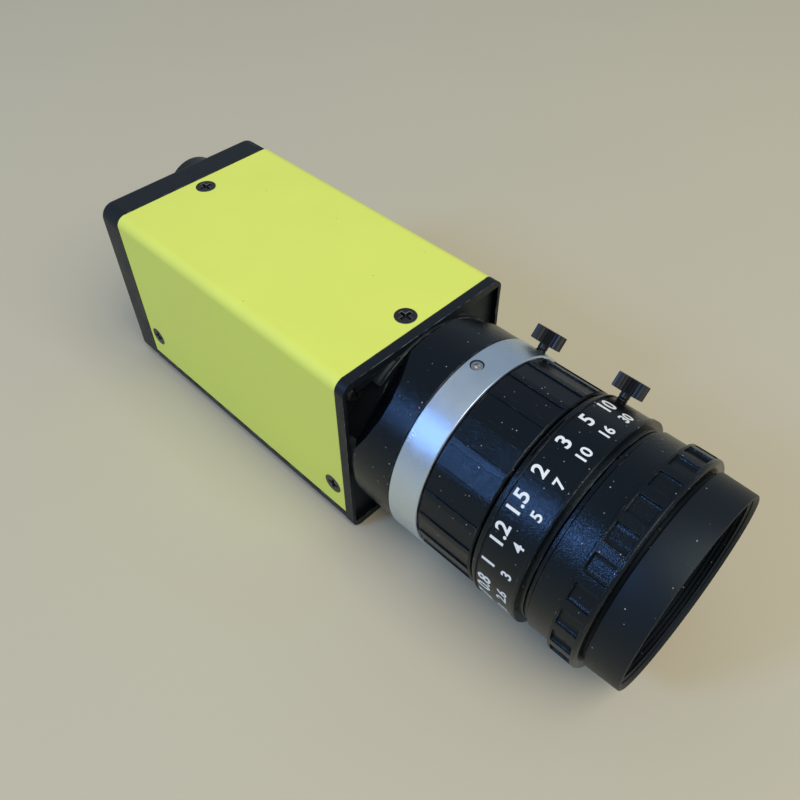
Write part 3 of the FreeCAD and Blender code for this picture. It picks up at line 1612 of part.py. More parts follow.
def iris_blades():
    """Thin curved leaves, each on its own pivot pin and with its own drive pin."""
    for index in range(BLADES):
        name = f"iris_blade_{index + 1}"
        start = blade_station(index)
        end = start + size["blade_thickness"]
        angle = blade_angle(index)
        solids = []
        for label, radius in (("outer", blade_outer), ("inner", size["blade_inner"])):
            wedge = document.addObject("Part::Cylinder", f"{name}_{label}")
            bind(wedge, "Radius", radius)
            bind(wedge, "Height", size["blade_thickness"])
            bind(wedge, "Angle", size["blade_sweep"])
            sweep_start = Rotation(FORWARD, angle + 90 - value_of(size["blade_heel_angle"]))
            set_place(wedge, 0, front - start, axis, sweep_start * Rotation(UP, FORWARD))
            solids.append(wedge)
        arc = document.addObject("Part::Cut", name + "_arc")
        arc.Base, arc.Tool = solids
        drive_radius, drive_angle = drive_pin_place(0)
        ears = []
        for label, circle_radius, turn, ear_radius in (
                ("pivot", value_of(blade_pivot_circle), 0, size["blade_ear_radius"]),
                ("drive", drive_radius, drive_angle, size["blade_drive_ear"])):
            ear = document.addObject("Part::Cylinder", f"{name}_{label}_ear")
            across, up = lens_point(circle_radius, angle + turn)
            bind(ear, "Radius", ear_radius)
            bind(ear, "Height", size["blade_thickness"])
            set_place(ear, across, front - start, axis + up, Rotation(UP, FORWARD))
            ears.append(ear)
        pivot = blade_pin(name + "_pivot", blade_pivot_circle, angle,
                          barrel_shelf + size["ring_gap"], end)
        drive = blade_pin(name + "_drive", drive_radius, angle + drive_angle,
                          start, cam_front)
        leaf = document.addObject("Part::MultiFuse", name)
        leaf.Shapes = [arc, pivot, drive] + ears
        leaf.Label = name
        keep(leaf)


def iris_cam_ring():
    """The ring whose curved slots swing the blades as the iris ring turns."""
    start, end = cam_back, cam_front
    blank = ring("iris_cam_blank", start, end, size["cam_bore"],
                 barrel_bore - size["cam_clearance"])
    radial_hole(blank, "cam_pin_hole", drive_pin_forward, size["drive_pin_angle"],
                size["drive_pin_radius"] + size["hole_clearance"],
                barrel_bore + BEYOND)
    turn = value_of(size["iris_turn"])
    swing = value_of(size["blade_swing"])
    half_width_of_slot = value_of(size["blade_pin_radius"] + size["cam_slot_clearance"])
    back = value_of(front - start) + BEYOND
    depth = value_of(size["cam_thickness"]) + 2 * BEYOND
    slots = []
    for index in range(BLADES):
        path = []
        for share in (0, 0.5, 1):
            radius, angle = drive_pin_place(swing * share)
            across, up = lens_point(radius, angle + blade_angle(index) - turn * share)
            path.append(Vector(across, back, value_of(axis) + up))
        slots.append(arc_slot(path, half_width_of_slot, depth))
    cutter = document.addObject("Part::Feature", "iris_cam_slots")
    cutter.Shape = Part.makeCompound(slots)
    result = document.addObject("Part::Cut", "iris_cam_cut")
    result.Base = blank
    result.Tool = cutter
    result.Label = "iris_cam_ring"
    return keep(result)


def arc_slot(path, half, depth):
    """A slot with round ends whose middle line is the arc through three points."""
    first, middle, last = path
    arc = Part.Arc(first, middle, last).toShape().Curve
    centre = arc.Center
    outer, inner = [[centre + (point - centre) * (1 + offset / arc.Radius) for point in path]
                    for offset in (half, -half)]
    tangent_start = (first - centre).cross(BACKWARD)
    tangent_end = (last - centre).cross(BACKWARD)
    if tangent_start.dot(middle - first) > 0:
        tangent_start = tangent_start.negative()
    if tangent_end.dot(last - middle) < 0:
        tangent_end = tangent_end.negative()
    start_tip = first + tangent_start.normalize() * half
    end_tip = last + tangent_end.normalize() * half
    edges = [
        Part.Arc(*outer).toShape(),
        Part.Arc(outer[2], end_tip, inner[2]).toShape(),
        Part.Arc(inner[2], inner[1], inner[0]).toShape(),
        Part.Arc(inner[0], start_tip, outer[0]).toShape(),
    ]
    face = Part.Face(Part.Wire(edges))
    return face.extrude(FORWARD * depth)


def iris_retainer():
    keep(ring("iris_retainer", retainer_front - size["retainer_depth"], retainer_front,
              size["retainer_bore"], iris_part_radius))


# --- lens: focus -----------------------------------------------------------------------
def focus_ring():
    barrel_back = focus_back + size["focus_neck_length"]
    grip_back = focus_back + size["grip_start"]
    edge = size["edge_break"]
    flange_front = focus_back + size["focus_flange"]
    profile = [
        (focus_back, running_bore),
        (focus_back, band_neck_radius),
        (barrel_back, band_neck_radius),
        (barrel_back, focus_radius - edge),
        (barrel_back + edge, focus_radius),
        (grip_back, focus_radius),
        (grip_back + edge, grip_radius),
        (focus_front - edge * 2, grip_radius),
        (focus_front, grip_radius - edge * 2),
        (focus_front, focus_thread_bore),
        (flange_front, focus_thread_bore),
        (flange_front, running_bore),
    ]
    body = turned("focus_ring", profile)
    gap_back = grip_back + size["grip_gap_back"]
    gap_floor = grip_gap_radius
    corners = rectangle(gap_back, gap_back + size["grip_gap_length"], gap_floor,
                        grip_radius + BEYOND)
    cut = sector_cut(body, "grip_gap", corners, size["grip_gap_angle"],
                     size["grip_gap_first"])
    spread_round(body, cut, int(value_of(size["grip_count"])))
    return keep(body)


def front_barrel():
    slide = barrel_bore - size["fit_clearance"]
    thread_back = barrel_end + size["slide_gap"]
    slide_back = retainer_front + size["slide_back_gap"]
    thread = focus_thread_bore - size["fit_clearance"]
    seat = thread_back + BEYOND / 4
    glass_front = seat + size["front_lens_thickness"]
    ring_front = glass_front + size["front_ring_depth"]
    filter_back = hood_front - size["filter_thread_depth"]
    edge = size["edge_break"]
    profile = [
        (slide_back, slide_bore),
        (slide_back, slide),
        (thread_back, slide),
        (thread_back, thread),
        (hood_back, thread),
        (hood_back, hood_radius),
        (hood_front - edge, hood_rim_radius),
        (hood_front, hood_rim_radius - edge),
        (hood_front, hood_rim_radius - size["hood_rim_wall"]),
        (hood_front - edge * 3, filter_thread_radius),
        (filter_back, filter_thread_radius),
        (filter_back, hood_step_radius),
        (ring_front, front_bore),
        (seat, front_bore),
        (seat, slide_bore),
    ]
    body = turned("front_barrel", profile)
    half = size["key_radius"] + size["key_clearance"] * 2
    document.recompute()
    sketch = new_sketch(
        body, "key_way_sketch", "XZ_Plane",
        [rectangle(key_forward - size["focus_travel"] - half,
                   key_forward + half, -half, half)],
        Placement(Vector(), Rotation(Vector(1, 0, 0), 0)))
    way = body.newObject("PartDesign::Pocket", "key_way")
    way.Profile = sketch
    bind(way, "Length", slide + BEYOND)
    way.Reversed = True
    keep(body)

    lens_element("front_lens", seat, size["front_lens_thickness"],
                 front_lens_radius, size["front_lens_curve"], 1)
    keep(ring("front_lens_retainer", glass_front, ring_front, front_ring_bore,
              front_ring_outer))
    inner_start = seat - size["inner_lens_back"]
    lens_element("inner_lens", inner_start, size["inner_lens_thickness"],
                 inner_lens_radius, size["inner_lens_curve"], 1)


# --- lens: thumb screws ----------------------------------------------------------------
def thumb_screw(name, forward, pad_start):
    """A knurled screw that points away from the lens axis, and the pad at its tip."""
    place = radial_place(forward, size["lock_angle"])
    pad_end = pad_start + size["lock_pad_length"]
    spigot_end = pad_end + size["lock_spigot_length"]
    gap = size["fit_clearance"]
    keep(turned(name + "_pad", [
        (pad_start, 0), (pad_start, size["lock_radius"]), (pad_end, size["lock_radius"]),
        (pad_end, size["lock_spigot_radius"]), (spigot_end, size["lock_spigot_radius"]),
        (spigot_end, 0)], place))
    head_base = lock_head_base
    head_top = head_base + size["lock_head_length"]
    neck_start = mount_radius - size["edge_break"]
    edge = size["lock_head_break"]
    head = size["lock_head_radius"]
    body = turned(name + "_screw", [
        (pad_end + gap, size["lock_spigot_radius"] + gap),
        (pad_end + gap, size["lock_radius"]),
        (neck_start, size["lock_radius"]),
        (neck_start, size["lock_neck_radius"]),
        (head_base, size["lock_neck_radius"]),
        (head_base, head - edge),
        (head_base + edge, head),
        (head_top - edge, head),
        (head_top, head - edge),
        (head_top, 0),
        (spigot_end + gap, 0),
        (spigot_end + gap, size["lock_spigot_radius"] + gap)], place)
    sketch = new_sketch(body, name + "_knurl_sketch", "YZ_Plane",
                        [circle(head + size["knurl_radius"] / 3, 0, size["knurl_radius"])])
    bind(sketch, "AttachmentOffset.Base.z", head_base - BEYOND / 2)
    knurl = body.newObject("PartDesign::Pocket", name + "_knurl")
    knurl.Profile = sketch
    bind(knurl, "Length", size["lock_head_length"] + BEYOND)
    knurl.Reversed = True
    spread_round(body, knurl, int(value_of(size["knurl_count"])))
    keep(body)


# --- the camera, put together ----------------------------------------------------------
def build():
    front_housing()
    lens_adapter()
    filter_pieces()
    rear_cap()
    base_plate()
    top_cover()
    body_screws()
    sensor_holder()
    circuit_board("sensor_board", board_front)
    circuit_board("processor_board", processor_front)
    board_standoffs()
    board_parts()
    heat_spreader()
    board_screws()
    network_socket()
    power_connector()
    status_light()
    interface_board()
    lens_mount()
    mount_set_screws()
    inner_barrel()
    rear_glass()
    name_band()
    guide_key()
    focus_washer()
    iris_ring()
    drive_pin()
    iris_cage()
    iris_blades()
    iris_cam_ring()
    iris_retainer()
    focus_ring()
    front_barrel()
    thumb_screw("iris_lock", iris_lock_forward,
                sleeve_radius + size["sleeve_clearance"])
    thumb_screw("focus_lock", focus_lock_forward,
                barrel_bore + size["fit_clearance"])


def check_document():
    """Stop if any feature failed or any piece is not a sound solid."""
    for item in document.Objects:
        if "Invalid" in item.State or "Error" in item.State:
            raise ValueError(f"{item.Label} failed: {item.State}")
    for label, piece in pieces.items():
        shape = piece.Shape
        if shape.isNull() or not shape.isValid() or not shape.Solids:
            raise ValueError(f"{label} is not a sound solid")


build()
document.recompute()
check_document()
for label, piece in pieces.items():
    piece.Shape.exportStep(f"parts/{label}.step")
print(f"{len(pieces)} pieces")
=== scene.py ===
"""Dresses the machine vision camera: its finishes, its fine parts, its light and its view."""

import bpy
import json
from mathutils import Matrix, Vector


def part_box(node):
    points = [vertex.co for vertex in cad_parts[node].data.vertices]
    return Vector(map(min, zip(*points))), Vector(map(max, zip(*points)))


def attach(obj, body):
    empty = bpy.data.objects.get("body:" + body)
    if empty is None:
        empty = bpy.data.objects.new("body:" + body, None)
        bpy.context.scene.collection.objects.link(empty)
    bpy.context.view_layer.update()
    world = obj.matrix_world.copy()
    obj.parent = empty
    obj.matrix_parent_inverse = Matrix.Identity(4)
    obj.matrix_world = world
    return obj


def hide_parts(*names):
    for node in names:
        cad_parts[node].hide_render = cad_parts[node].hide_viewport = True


bl_info = {
    "name": "Machine Vision Camera",
    "version": (1, 0, 0),
    "blender": (4, 5, 0),
    "location": "3D View > Sidebar > Vision Camera",
    "description": "Finishes and fine parts of a small industrial camera and its lens",
    "category": "Object",
}

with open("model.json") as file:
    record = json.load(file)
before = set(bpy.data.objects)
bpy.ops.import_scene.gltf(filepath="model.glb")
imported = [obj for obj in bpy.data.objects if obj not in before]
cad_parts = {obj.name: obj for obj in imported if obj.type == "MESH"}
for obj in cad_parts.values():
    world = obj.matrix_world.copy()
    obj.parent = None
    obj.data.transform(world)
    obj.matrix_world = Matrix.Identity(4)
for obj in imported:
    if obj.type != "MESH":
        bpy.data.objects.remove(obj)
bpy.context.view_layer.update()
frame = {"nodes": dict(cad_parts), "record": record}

import json
import math

import bmesh
import bpy
from bpy.props import FloatProperty, FloatVectorProperty, PointerProperty
from bpy.types import Operator, Panel, PropertyGroup
from mathutils import Matrix, Vector

MM = 0.001
BODY_OF = {node: body for body, nodes in frame["record"]["behaviour"]["bodies"].items()
           for node in nodes}
SLOT_OF = {part["node"]: part["material_slot"] for part in frame["record"]["subparts"]}


def linear(hex_colour):
    """An sRGB hex colour as the linear values that shaders take."""
    channels = [int(hex_colour[place:place + 2], 16) / 255 for place in (1, 3, 5)]
    return [value / 12.92 if value <= 0.04045 else ((value + 0.055) / 1.055) ** 2.4
            for value in channels]


def colour(name, description, hex_colour):
    return FloatVectorProperty(name=name, description=description, subtype="COLOR",
                               size=3, min=0, max=1, default=linear(hex_colour))


def length(name, description, millimetres):
    return FloatProperty(name=name, description=description, unit="LENGTH", min=0,
                         default=millimetres * MM, precision=5)


class VisionCameraColours(PropertyGroup):
    cover: colour("Cover", "Lemon powder coat of the folded cover", "#E0EC68")
    casting: colour("Castings", "Black coat of the camera's castings and base", "#12161A")
    lens: colour("Lens", "Black anodising of the lens rings", "#070A0F")
    hood: colour("Hood", "Matt black of the front barrel", "#0A0E14")
    # The mount ring colour is the aluminium's pale grey with a blue cast, which is painted
    # reflection of a blue sky
    silver: colour("Mount ring", "Bare turned aluminium of the lens mount ring", "#CFE0F4")
    marking: colour("Markings", "White ink of the scale numbers", "#E8ECEC")
    dust: colour("Dust", "Pale dust on the black lens rings", "#B4B0AC")
    # Worn edges: this grey is partly rubbed bare aluminium and partly a painted highlight for
    # the thin bright lines along rounded edges
    worn_and_highlit: colour("Worn edges", "Aluminium that shows where black edges are rubbed", "#7C8288")
    floor: colour("Floor", "Pale plain floor", "#C2BCA6")


class VisionCameraSizes(PropertyGroup):
    coat_grain: length("Coat grain", "Spacing of the cover coat's fine texture", 0.35)
    blast_grain: length("Blast grain", "Spacing of the blasted texture under the black", 0.13)
    turning_pitch: length("Turning pitch", "Spacing of the lathe marks on bare metal", 0.09)
    dust_spacing: length("Dust spacing", "Distance between specks of dust", 0.8)
    edge_round: length("Edge rounding", "Rounding of the edges of castings", 0.12)
    ring_break: length("Ring edge break", "Rounding of the edges of turned rings", 0.06)
    number_height: length("Metre numbers", "Height of the row of metre numbers", 1.85)
    small_number_height: length("Foot numbers", "Height of the row of foot numbers", 1.4)
    knurl_depth: length("Knurl depth", "Depth of the thumb screws' straight knurl", 0.26)
    thread_pitch: length("Filter thread pitch", "Pitch of the thread in the hood", 0.5)
    thread_depth: length("Filter thread depth", "Depth of the thread in the hood", 0.25)


def colours():
    return bpy.context.scene.vision_camera_colours


def sizes():
    return bpy.context.scene.vision_camera_sizes


# ---------------------------------------------------------------- materials

# The faint blue that black coats give to what they reflect, and the tints of coated glass.
BLUE_SHEEN = (0.62, 0.82, 1.0)
LENS_COATING = (0.55, 0.75, 1.0)
FILTER_COATING = (1.0, 0.6, 0.55)

SCUFF = "#6F7434"
SOLDER_MASK = "#0F4A2C"
MASKED_COPPER = "#1C6B41"

made_finishes = {}


def add_node(tree, kind, inputs=None, **settings):
    """Add one node, set it up, and fill its sockets with values or links."""
    made = tree.nodes.new(kind)
    for name, value in settings.items():
        setattr(made, name, value)
    for name, value in (inputs or {}).items():
        socket = made.inputs[name]
        if isinstance(value, bpy.types.NodeSocket):
            tree.links.new(value, socket)
        else:
            socket.default_value = value
    return made


def start_material(name):
    """An empty node material and its Object coordinates, in millimetres."""
    material = bpy.data.materials.new(name)
    material.use_nodes = True
    tree = material.node_tree
    tree.nodes.clear()
    place = add_node(tree, "ShaderNodeTexCoord")
    scaled = add_node(tree, "ShaderNodeMapping",
                      {"Vector": place.outputs["Object"], "Scale": (1 / MM,) * 3})
    return material, tree, scaled.outputs["Vector"]


def finish_material(material, tree, sockets):
    surface = add_node(tree, "ShaderNodeBsdfPrincipled", sockets)
    add_node(tree, "ShaderNodeOutputMaterial", {"Surface": surface.outputs["BSDF"]})
    return material


def rgba(channels, strength=1.0):
    return (*[value * strength for value in channels], 1.0)


def noise(tree, place, spacing, detail=2.0):
    """Noise whose lumps are about so many millimetres apart."""
    return add_node(tree, "ShaderNodeTexNoise", {
        "Vector": place, "Scale": 1 / spacing, "Detail": detail}).outputs["Fac"]


def spread(tree, value, low, high, new_low, new_high):
    return add_node(tree, "ShaderNodeMapRange", {
        "Value": value, "From Min": low, "From Max": high,
        "To Min": new_low, "To Max": new_high}).outputs["Result"]


def blend_colours(tree, factor, first, second):
    return add_node(tree, "ShaderNodeMix", {"Factor": factor, 6: first, 7: second},
                    data_type="RGBA").outputs[2]


def specks(tree, place, spacing, radius, share):
    """1 in small round specks, one in about so many millimetres, and 0 elsewhere."""
    cells = add_node(tree, "ShaderNodeTexVoronoi",
                     {"Vector": place, "Scale": 1 / spacing, "Randomness": 1.0})
    pick = add_node(tree, "ShaderNodeSeparateColor", {"Color": cells.outputs["Color"]})
    boldness = spread(tree, pick.outputs["Green"], 0.0, 1.0, 0.3, 1.0)
    near = spread(tree, cells.outputs["Distance"], radius / spacing,
                  radius / spacing * 0.5, 0.0, boldness)
    chosen = add_node(tree, "ShaderNodeMath",
                      {0: pick.outputs["Red"], 1: share}, operation="LESS_THAN")
    return add_node(tree, "ShaderNodeMath", {0: near, 1: chosen.outputs["Value"]},
                    operation="MULTIPLY").outputs["Value"]


def bump(tree, height, depth, strength=1.0):
    """A normal raised by a pattern; depth is in millimetres."""
    return add_node(tree, "ShaderNodeBump", {
        "Height": height, "Strength": strength, "Distance": depth * MM}).outputs["Normal"]


def rub_and_highlight(tree, place, tone, share):
    """Lighter grey in patches along the rounded edges that the mesh marks: partly rubbed wear
    to bare aluminium, partly a painted highlight for thin bright edge lines.
    """
    edge = add_node(tree, "ShaderNodeAttribute", attribute_name="worn_and_highlit").outputs["Fac"]
    patches = spread(tree, noise(tree, place, 1.6, 3.0), 0.6 - share * 0.3, 0.7, 0.0, share)
    amount = add_node(tree, "ShaderNodeMath", {0: edge, 1: patches},
                      operation="MULTIPLY").outputs["Value"]
    return blend_colours(tree, amount, tone, rgba(colours().worn_and_highlit))


def grained(name, base, metallic, roughness, spacing, depth, mottle=0.15, wear_and_highlight_share=0.0,
            **sockets):
    """A finish with fine grain, slight unevenness of tone, and uneven gloss."""
    material, tree, place = start_material(name)
    grain = noise(tree, place, spacing, 3.0)
    patches = noise(tree, place, spacing * 14, 3.0)
    tone = blend_colours(tree, patches, rgba(base, 1 - mottle), rgba(base, 1 + mottle))
    # Lighter grey on the marked rounded edges: partly wear, partly painted highlight
    if wear_and_highlight_share:
        tone = rub_and_highlight(tree, place, tone, wear_and_highlight_share)
    gloss = spread(tree, patches, 0.3, 0.7, roughness * 0.9, min(roughness * 1.12, 1.0))
    return finish_material(material, tree, {
        "Base Color": tone, "Metallic": metallic, "Roughness": gloss,
        "Normal": bump(tree, grain, depth), **sockets})


def lemon_powder_coat():
    """Lemon powder coat on folded sheet: satin, faintly pebbled, with dark specks of wear."""
    material, tree, place = start_material("lemon powder coat")
    pebble = noise(tree, place, sizes().coat_grain / MM, 3.0)
    cloud = noise(tree, place, 9.0, 4.0)
    tone = blend_colours(tree, spread(tree, cloud, 0.3, 0.7, 0.0, 1.0),
                         rgba(colours().cover, 0.98), rgba(colours().cover, 1.01))
    marks = specks(tree, place, 2.6, 0.12, 0.4)
    worn_and_highlit = blend_colours(tree, marks, tone, rgba(linear(SCUFF)))
    gloss = spread(tree, cloud, 0.3, 0.7, 0.44, 0.54)
    return finish_material(material, tree, {
        "Base Color": worn_and_highlit, "Roughness": gloss, "Normal": bump(tree, pebble, 0.012)})


def sparkling_black(name, base, roughness, grit_depth, dust_share, wear_and_highlight_share):
    """Black anodising over a blasted surface, whose grain glitters in the light."""
    material, tree, place = start_material(name)
    grit = noise(tree, place, sizes().blast_grain / MM, 0.0)
    # Lighter grey on the marked rounded edges: partly wear, partly painted highlight
    tone = rub_and_highlight(tree, place, rgba(base), wear_and_highlight_share)
    dust = specks(tree, place, sizes().dust_spacing / MM, 0.1, dust_share)
    dusty = blend_colours(tree, dust, tone, rgba(colours().dust))
    patches = noise(tree, place, 6.0, 3.0)
    gloss = spread(tree, patches, 0.3, 0.7, roughness * 0.9, roughness * 1.1)
    return finish_material(material, tree, {
        "Base Color": dusty, "IOR": 1.42, "Specular Tint": rgba(BLUE_SHEEN),
        "Roughness": gloss, "Normal": bump(tree, grit, grit_depth)})


def turned_metal(name, base, roughness, mark_depth):
    """Bare metal off the lathe, with fine rings round the lens axis."""
    material, tree, place = start_material(name)
    along = add_node(tree, "ShaderNodeSeparateXYZ", {"Vector": place}).outputs["Y"]
    drift = noise(tree, place, 3.0, 2.0)
    station = add_node(tree, "ShaderNodeMath", {0: drift, 1: 0.05, 2: along},
                       operation="MULTIPLY_ADD").outputs["Value"]
    ridge = add_node(tree, "ShaderNodeMath", {
        0: station, 1: 2 * math.pi * MM / sizes().turning_pitch},
        operation="MULTIPLY").outputs["Value"]
    marks = add_node(tree, "ShaderNodeMath", {0: ridge}, operation="SINE").outputs["Value"]
    patches = noise(tree, place, 4.0, 4.0)
    tone = blend_colours(tree, patches, rgba(base, 0.93), rgba(base, 1.03))
    gloss = spread(tree, patches, 0.3, 0.7, roughness * 0.85, roughness * 1.15)
    return finish_material(material, tree, {
        "Base Color": tone, "Metallic": 1.0, "Roughness": gloss,
        "Normal": bump(tree, marks, mark_depth)})


def coated_glass(name, tint):
    """Optical glass with a coating that gives its reflections a faint tint."""
    material, tree, place = start_material(name)
    haze = noise(tree, place, 5.0, 3.0)
    gloss = spread(tree, haze, 0.4, 0.8, 0.0, 0.03)
    return finish_material(material, tree, {
        "Base Color": rgba((1.0, 1.0, 1.0)), "Transmission Weight": 1.0, "IOR": 1.5,
        "Roughness": gloss, "Specular Tint": rgba(tint), "Coat Weight": 0.35,
        "Coat Roughness": 0.02, "Coat Tint": rgba(tint)})


def circuit_board():
    """Green solder mask over copper tracks on a glass-fibre board."""
    material, tree, place = start_material("green circuit board")
    tracks = add_node(tree, "ShaderNodeTexBrick", {
        "Vector": place, "Scale": 0.55, "Mortar Size": 0.04, "Bias": -0.2,
        "Color1": (0, 0, 0, 1), "Color2": (0, 0, 0, 1), "Mortar": (1, 1, 1, 1)}
        ).outputs["Color"]
    tone = blend_colours(tree, tracks, rgba(linear(SOLDER_MASK)), rgba(linear(MASKED_COPPER)))
    return finish_material(material, tree, {
        "Base Color": tone, "Roughness": 0.3, "Normal": bump(tree, tracks, 0.03)})


# name of the finish: colour, metallic, roughness, grain spacing and depth in mm, and
# where they differ from the usual, unevenness of tone and the share of lighter grey on the
# edges, partly wear and partly painted highlight
GRAINED = {
    "black oxide steel": ("#15171A", 0.0, 0.34, 0.25, 0.010, 0.15, 0.9),
    "black chromed brass": ("#101215", 0.0, 0.3, 0.3, 0.004, 0.15, 0.5),
    "stainless steel": ("#B4B6B9", 1.0, 0.26, 0.2, 0.004),
    "spring steel": ("#2B2D31", 0.9, 0.32, 0.3, 0.003),
    "yellow zinc plated steel": ("#B99A4E", 1.0, 0.34, 0.25, 0.006),
    "gold plated contact": ("#D9B45A", 1.0, 0.22, 0.2, 0.003),
    "tinned steel shield": ("#9EA1A4", 1.0, 0.33, 0.4, 0.006),
    "blasted aluminium": ("#A8ABAF", 1.0, 0.5, 0.2, 0.015),
    "black glass-filled plastic": ("#141416", 0.0, 0.48, 0.3, 0.012),
    "black chip resin": ("#18191B", 0.0, 0.6, 0.15, 0.008),
    "grey thermal pad": ("#7C828A", 0.0, 0.8, 0.5, 0.02),
    "black rubber": ("#0F0F10", 0.0, 0.72, 0.3, 0.015),
    "amber flexible circuit": ("#A5651F", 0.0, 0.32, 0.6, 0.004),
    "white sensor ceramic": ("#C9C4B8", 0.0, 0.55, 0.25, 0.006),
    "milky light pipe": ("#DCE3E1", 0.0, 0.25, 0.8, 0.003),
    "brass": ("#B08D4A", 1.0, 0.3, 0.25, 0.004),
}

FINISH_OF = {
    "screw_black": "black oxide steel", "screw_brass": "yellow zinc plated steel",
    "stop_steel": "spring steel", "sensor_ceramic": "white sensor ceramic",
    "chip_black": "black chip resin", "flex_amber": "amber flexible circuit",
    "spreader_aluminium": "blasted aluminium", "pad_grey": "grey thermal pad",
    "seal_black": "black rubber", "socket_steel": "tinned steel shield",
    "socket_black": "black glass-filled plastic", "contact_gold": "gold plated contact",
    "connector_black": "black chromed brass", "light_white": "milky light pipe",
}


def listed_finish(name):
    """One of the grained finishes above."""
    shade, *numbers = GRAINED[name]
    return grained(name, linear(shade), *numbers)


def make_finish(slot):
    """The material of one of the record's slots, made once."""
    if slot in made_finishes:
        return made_finishes[slot]
    if slot == "cover_yellow":
        made = lemon_powder_coat()
    elif slot == "black_anodised":
        made = grained("black coated casting", colours().casting, 0.0, 0.42, 0.22, 0.012,
                       wear_and_highlight_share=0.5, **{"IOR": 1.38, "Specular Tint": rgba(BLUE_SHEEN)})
    elif slot == "lens_black":
        made = sparkling_black("blasted black anodising", colours().lens, 0.24, 0.03,
                               0.3, 0.22)
    elif slot == "hood_black":
        made = sparkling_black("matt black anodising", colours().hood, 0.48, 0.008, 0.2, 0.5)
    elif slot == "lens_silver":
        made = turned_metal("turned aluminium", colours().silver, 0.3, 0.004)
    elif slot == "lens_glass":
        made = coated_glass("coated lens glass", LENS_COATING)
    elif slot == "filter_glass":
        made = coated_glass("filter glass", FILTER_COATING)
    elif slot == "circuit_green":
        made = circuit_board()
    else:
        made = listed_finish(FINISH_OF[slot])
    made_finishes[slot] = made
    return made


def dress(*nodes):
    """Give CAD nodes the finishes of their slots."""
    for name in nodes:
        data = frame["nodes"][name].data
        data.materials.clear()
        data.materials.append(make_finish(SLOT_OF[name]))


# ---------------------------------------------------------------- shapes

# Edges that turn by more than this many degrees look sharp, and are the ones to soften.
SMOOTH_ANGLE = 35.0

# Corners closer than this are one corner.
MERGE = 0.001 * MM


def station(forward):
    """The y of a place so many millimetres in front of the camera's front face."""
    return FRONT - forward * MM


# The frame's front face, from which the round boss rises, and the height of the lens axis.
BOSS_RISE = 0.5
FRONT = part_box("front_housing")[0][1] + BOSS_RISE * MM
AXIS_HEIGHT = sum(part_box("lens_mount")[side][2] for side in (0, 1)) / 2

# Where the set screws and the thumb screws stand: angles round the lens in degrees, and
# distances in front of the frame in mm. One drill makes all their holes in the mount ring.
SET_SCREW_ANGLES = (3, 123, 243)
SET_SCREW_FORWARD = 8.75
LOCK_ANGLE = -45
IRIS_LOCK_FORWARD, FOCUS_LOCK_FORWARD = 10.3, 22.6
SCREW_HOLE_RADIUS = 0.9


def on_lens(angle, radius, forward):
    """A place round the lens axis; 0 is the top and 90 is towards -X."""
    turn = math.radians(angle)
    return Vector((-radius * MM * math.sin(turn), station(forward),
                   AXIS_HEIGHT + radius * MM * math.cos(turn)))


def facing_out(angle, radius, forward):
    """A frame on the lens whose Z axis points straight out from the lens axis."""
    return (Matrix.Translation(on_lens(angle, radius, forward))
            @ Matrix.Rotation(-math.radians(angle), 4, "Y"))


def finished_piece(name, work, body, slot, smooth_angle=SMOOTH_ANGLE, finish=None):
    """Turn a bmesh into a piece that rides on a body; its finish is its slot's if not given."""
    mesh = bpy.data.meshes.new(name)
    work.to_mesh(mesh)
    work.free()
    mesh.shade_smooth()
    mesh.set_sharp_from_angle(angle=math.radians(smooth_angle))
    piece = bpy.data.objects.new(name, mesh)
    bpy.context.scene.collection.objects.link(piece)
    mesh.materials.append(finish or make_finish(slot))
    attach(piece, body)
    return piece


def turned_piece(work, outline, steps=192):
    """Spin a closed outline of (station in mm, radius in mm) round the lens axis."""
    corners = [work.verts.new((0, station(forward), AXIS_HEIGHT + radius * MM))
               for forward, radius in outline]
    edges = [work.edges.new((corner, corners[place - 1]))
             for place, corner in enumerate(corners)]
    bmesh.ops.spin(work, geom=corners + edges, cent=(0, 0, AXIS_HEIGHT), axis=(0, 1, 0),
                   angle=2 * math.pi, steps=steps, use_merge=True)
    bmesh.ops.remove_doubles(work, verts=work.verts, dist=MERGE)
    bmesh.ops.recalc_face_normals(work, faces=work.faces)


def softened_copy(node, width, skip_holes=True):
    """A copy of a CAD node whose outer edges are rounded and marked for the lighter edge grey:
    wear and a painted highlight.
    """
    work = bmesh.new()
    work.from_mesh(frame["nodes"][node].data)
    bmesh.ops.remove_doubles(work, verts=work.verts, dist=MERGE)
    bmesh.ops.dissolve_limit(work, angle_limit=math.radians(0.6), verts=work.verts,
                             edges=work.edges)
    # The rounded faces get the lighter edge grey, which paints in wear and a highlight
    worn_and_highlit = work.faces.layers.float.new("worn_and_highlit")
    sharp = [edge for edge in work.edges if edge.is_manifold and edge.is_convex
             and edge.calc_face_angle() > math.radians(SMOOTH_ANGLE)]
    if skip_holes:
        shortest = width * 4
        sharp = [edge for edge in sharp if edge.calc_length() > shortest]
    rounding = bmesh.ops.bevel(work, geom=sharp, offset=width, offset_type="OFFSET",
                               segments=2, profile=0.5, affect="EDGES",
                               clamp_overlap=False, material=-1)["faces"]
    for face in rounding:
        face[worn_and_highlit] = 1.0
    bmesh.ops.remove_doubles(work, verts=work.verts, dist=MERGE)
    piece = finished_piece(node + "_edged", work, BODY_OF[node], SLOT_OF[node])
    shading = piece.modifiers.new("even shading", "WEIGHTED_NORMAL")
    shading.keep_sharp = True
    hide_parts(node)
    return piece


# ---------------------------------------------------------------- operators

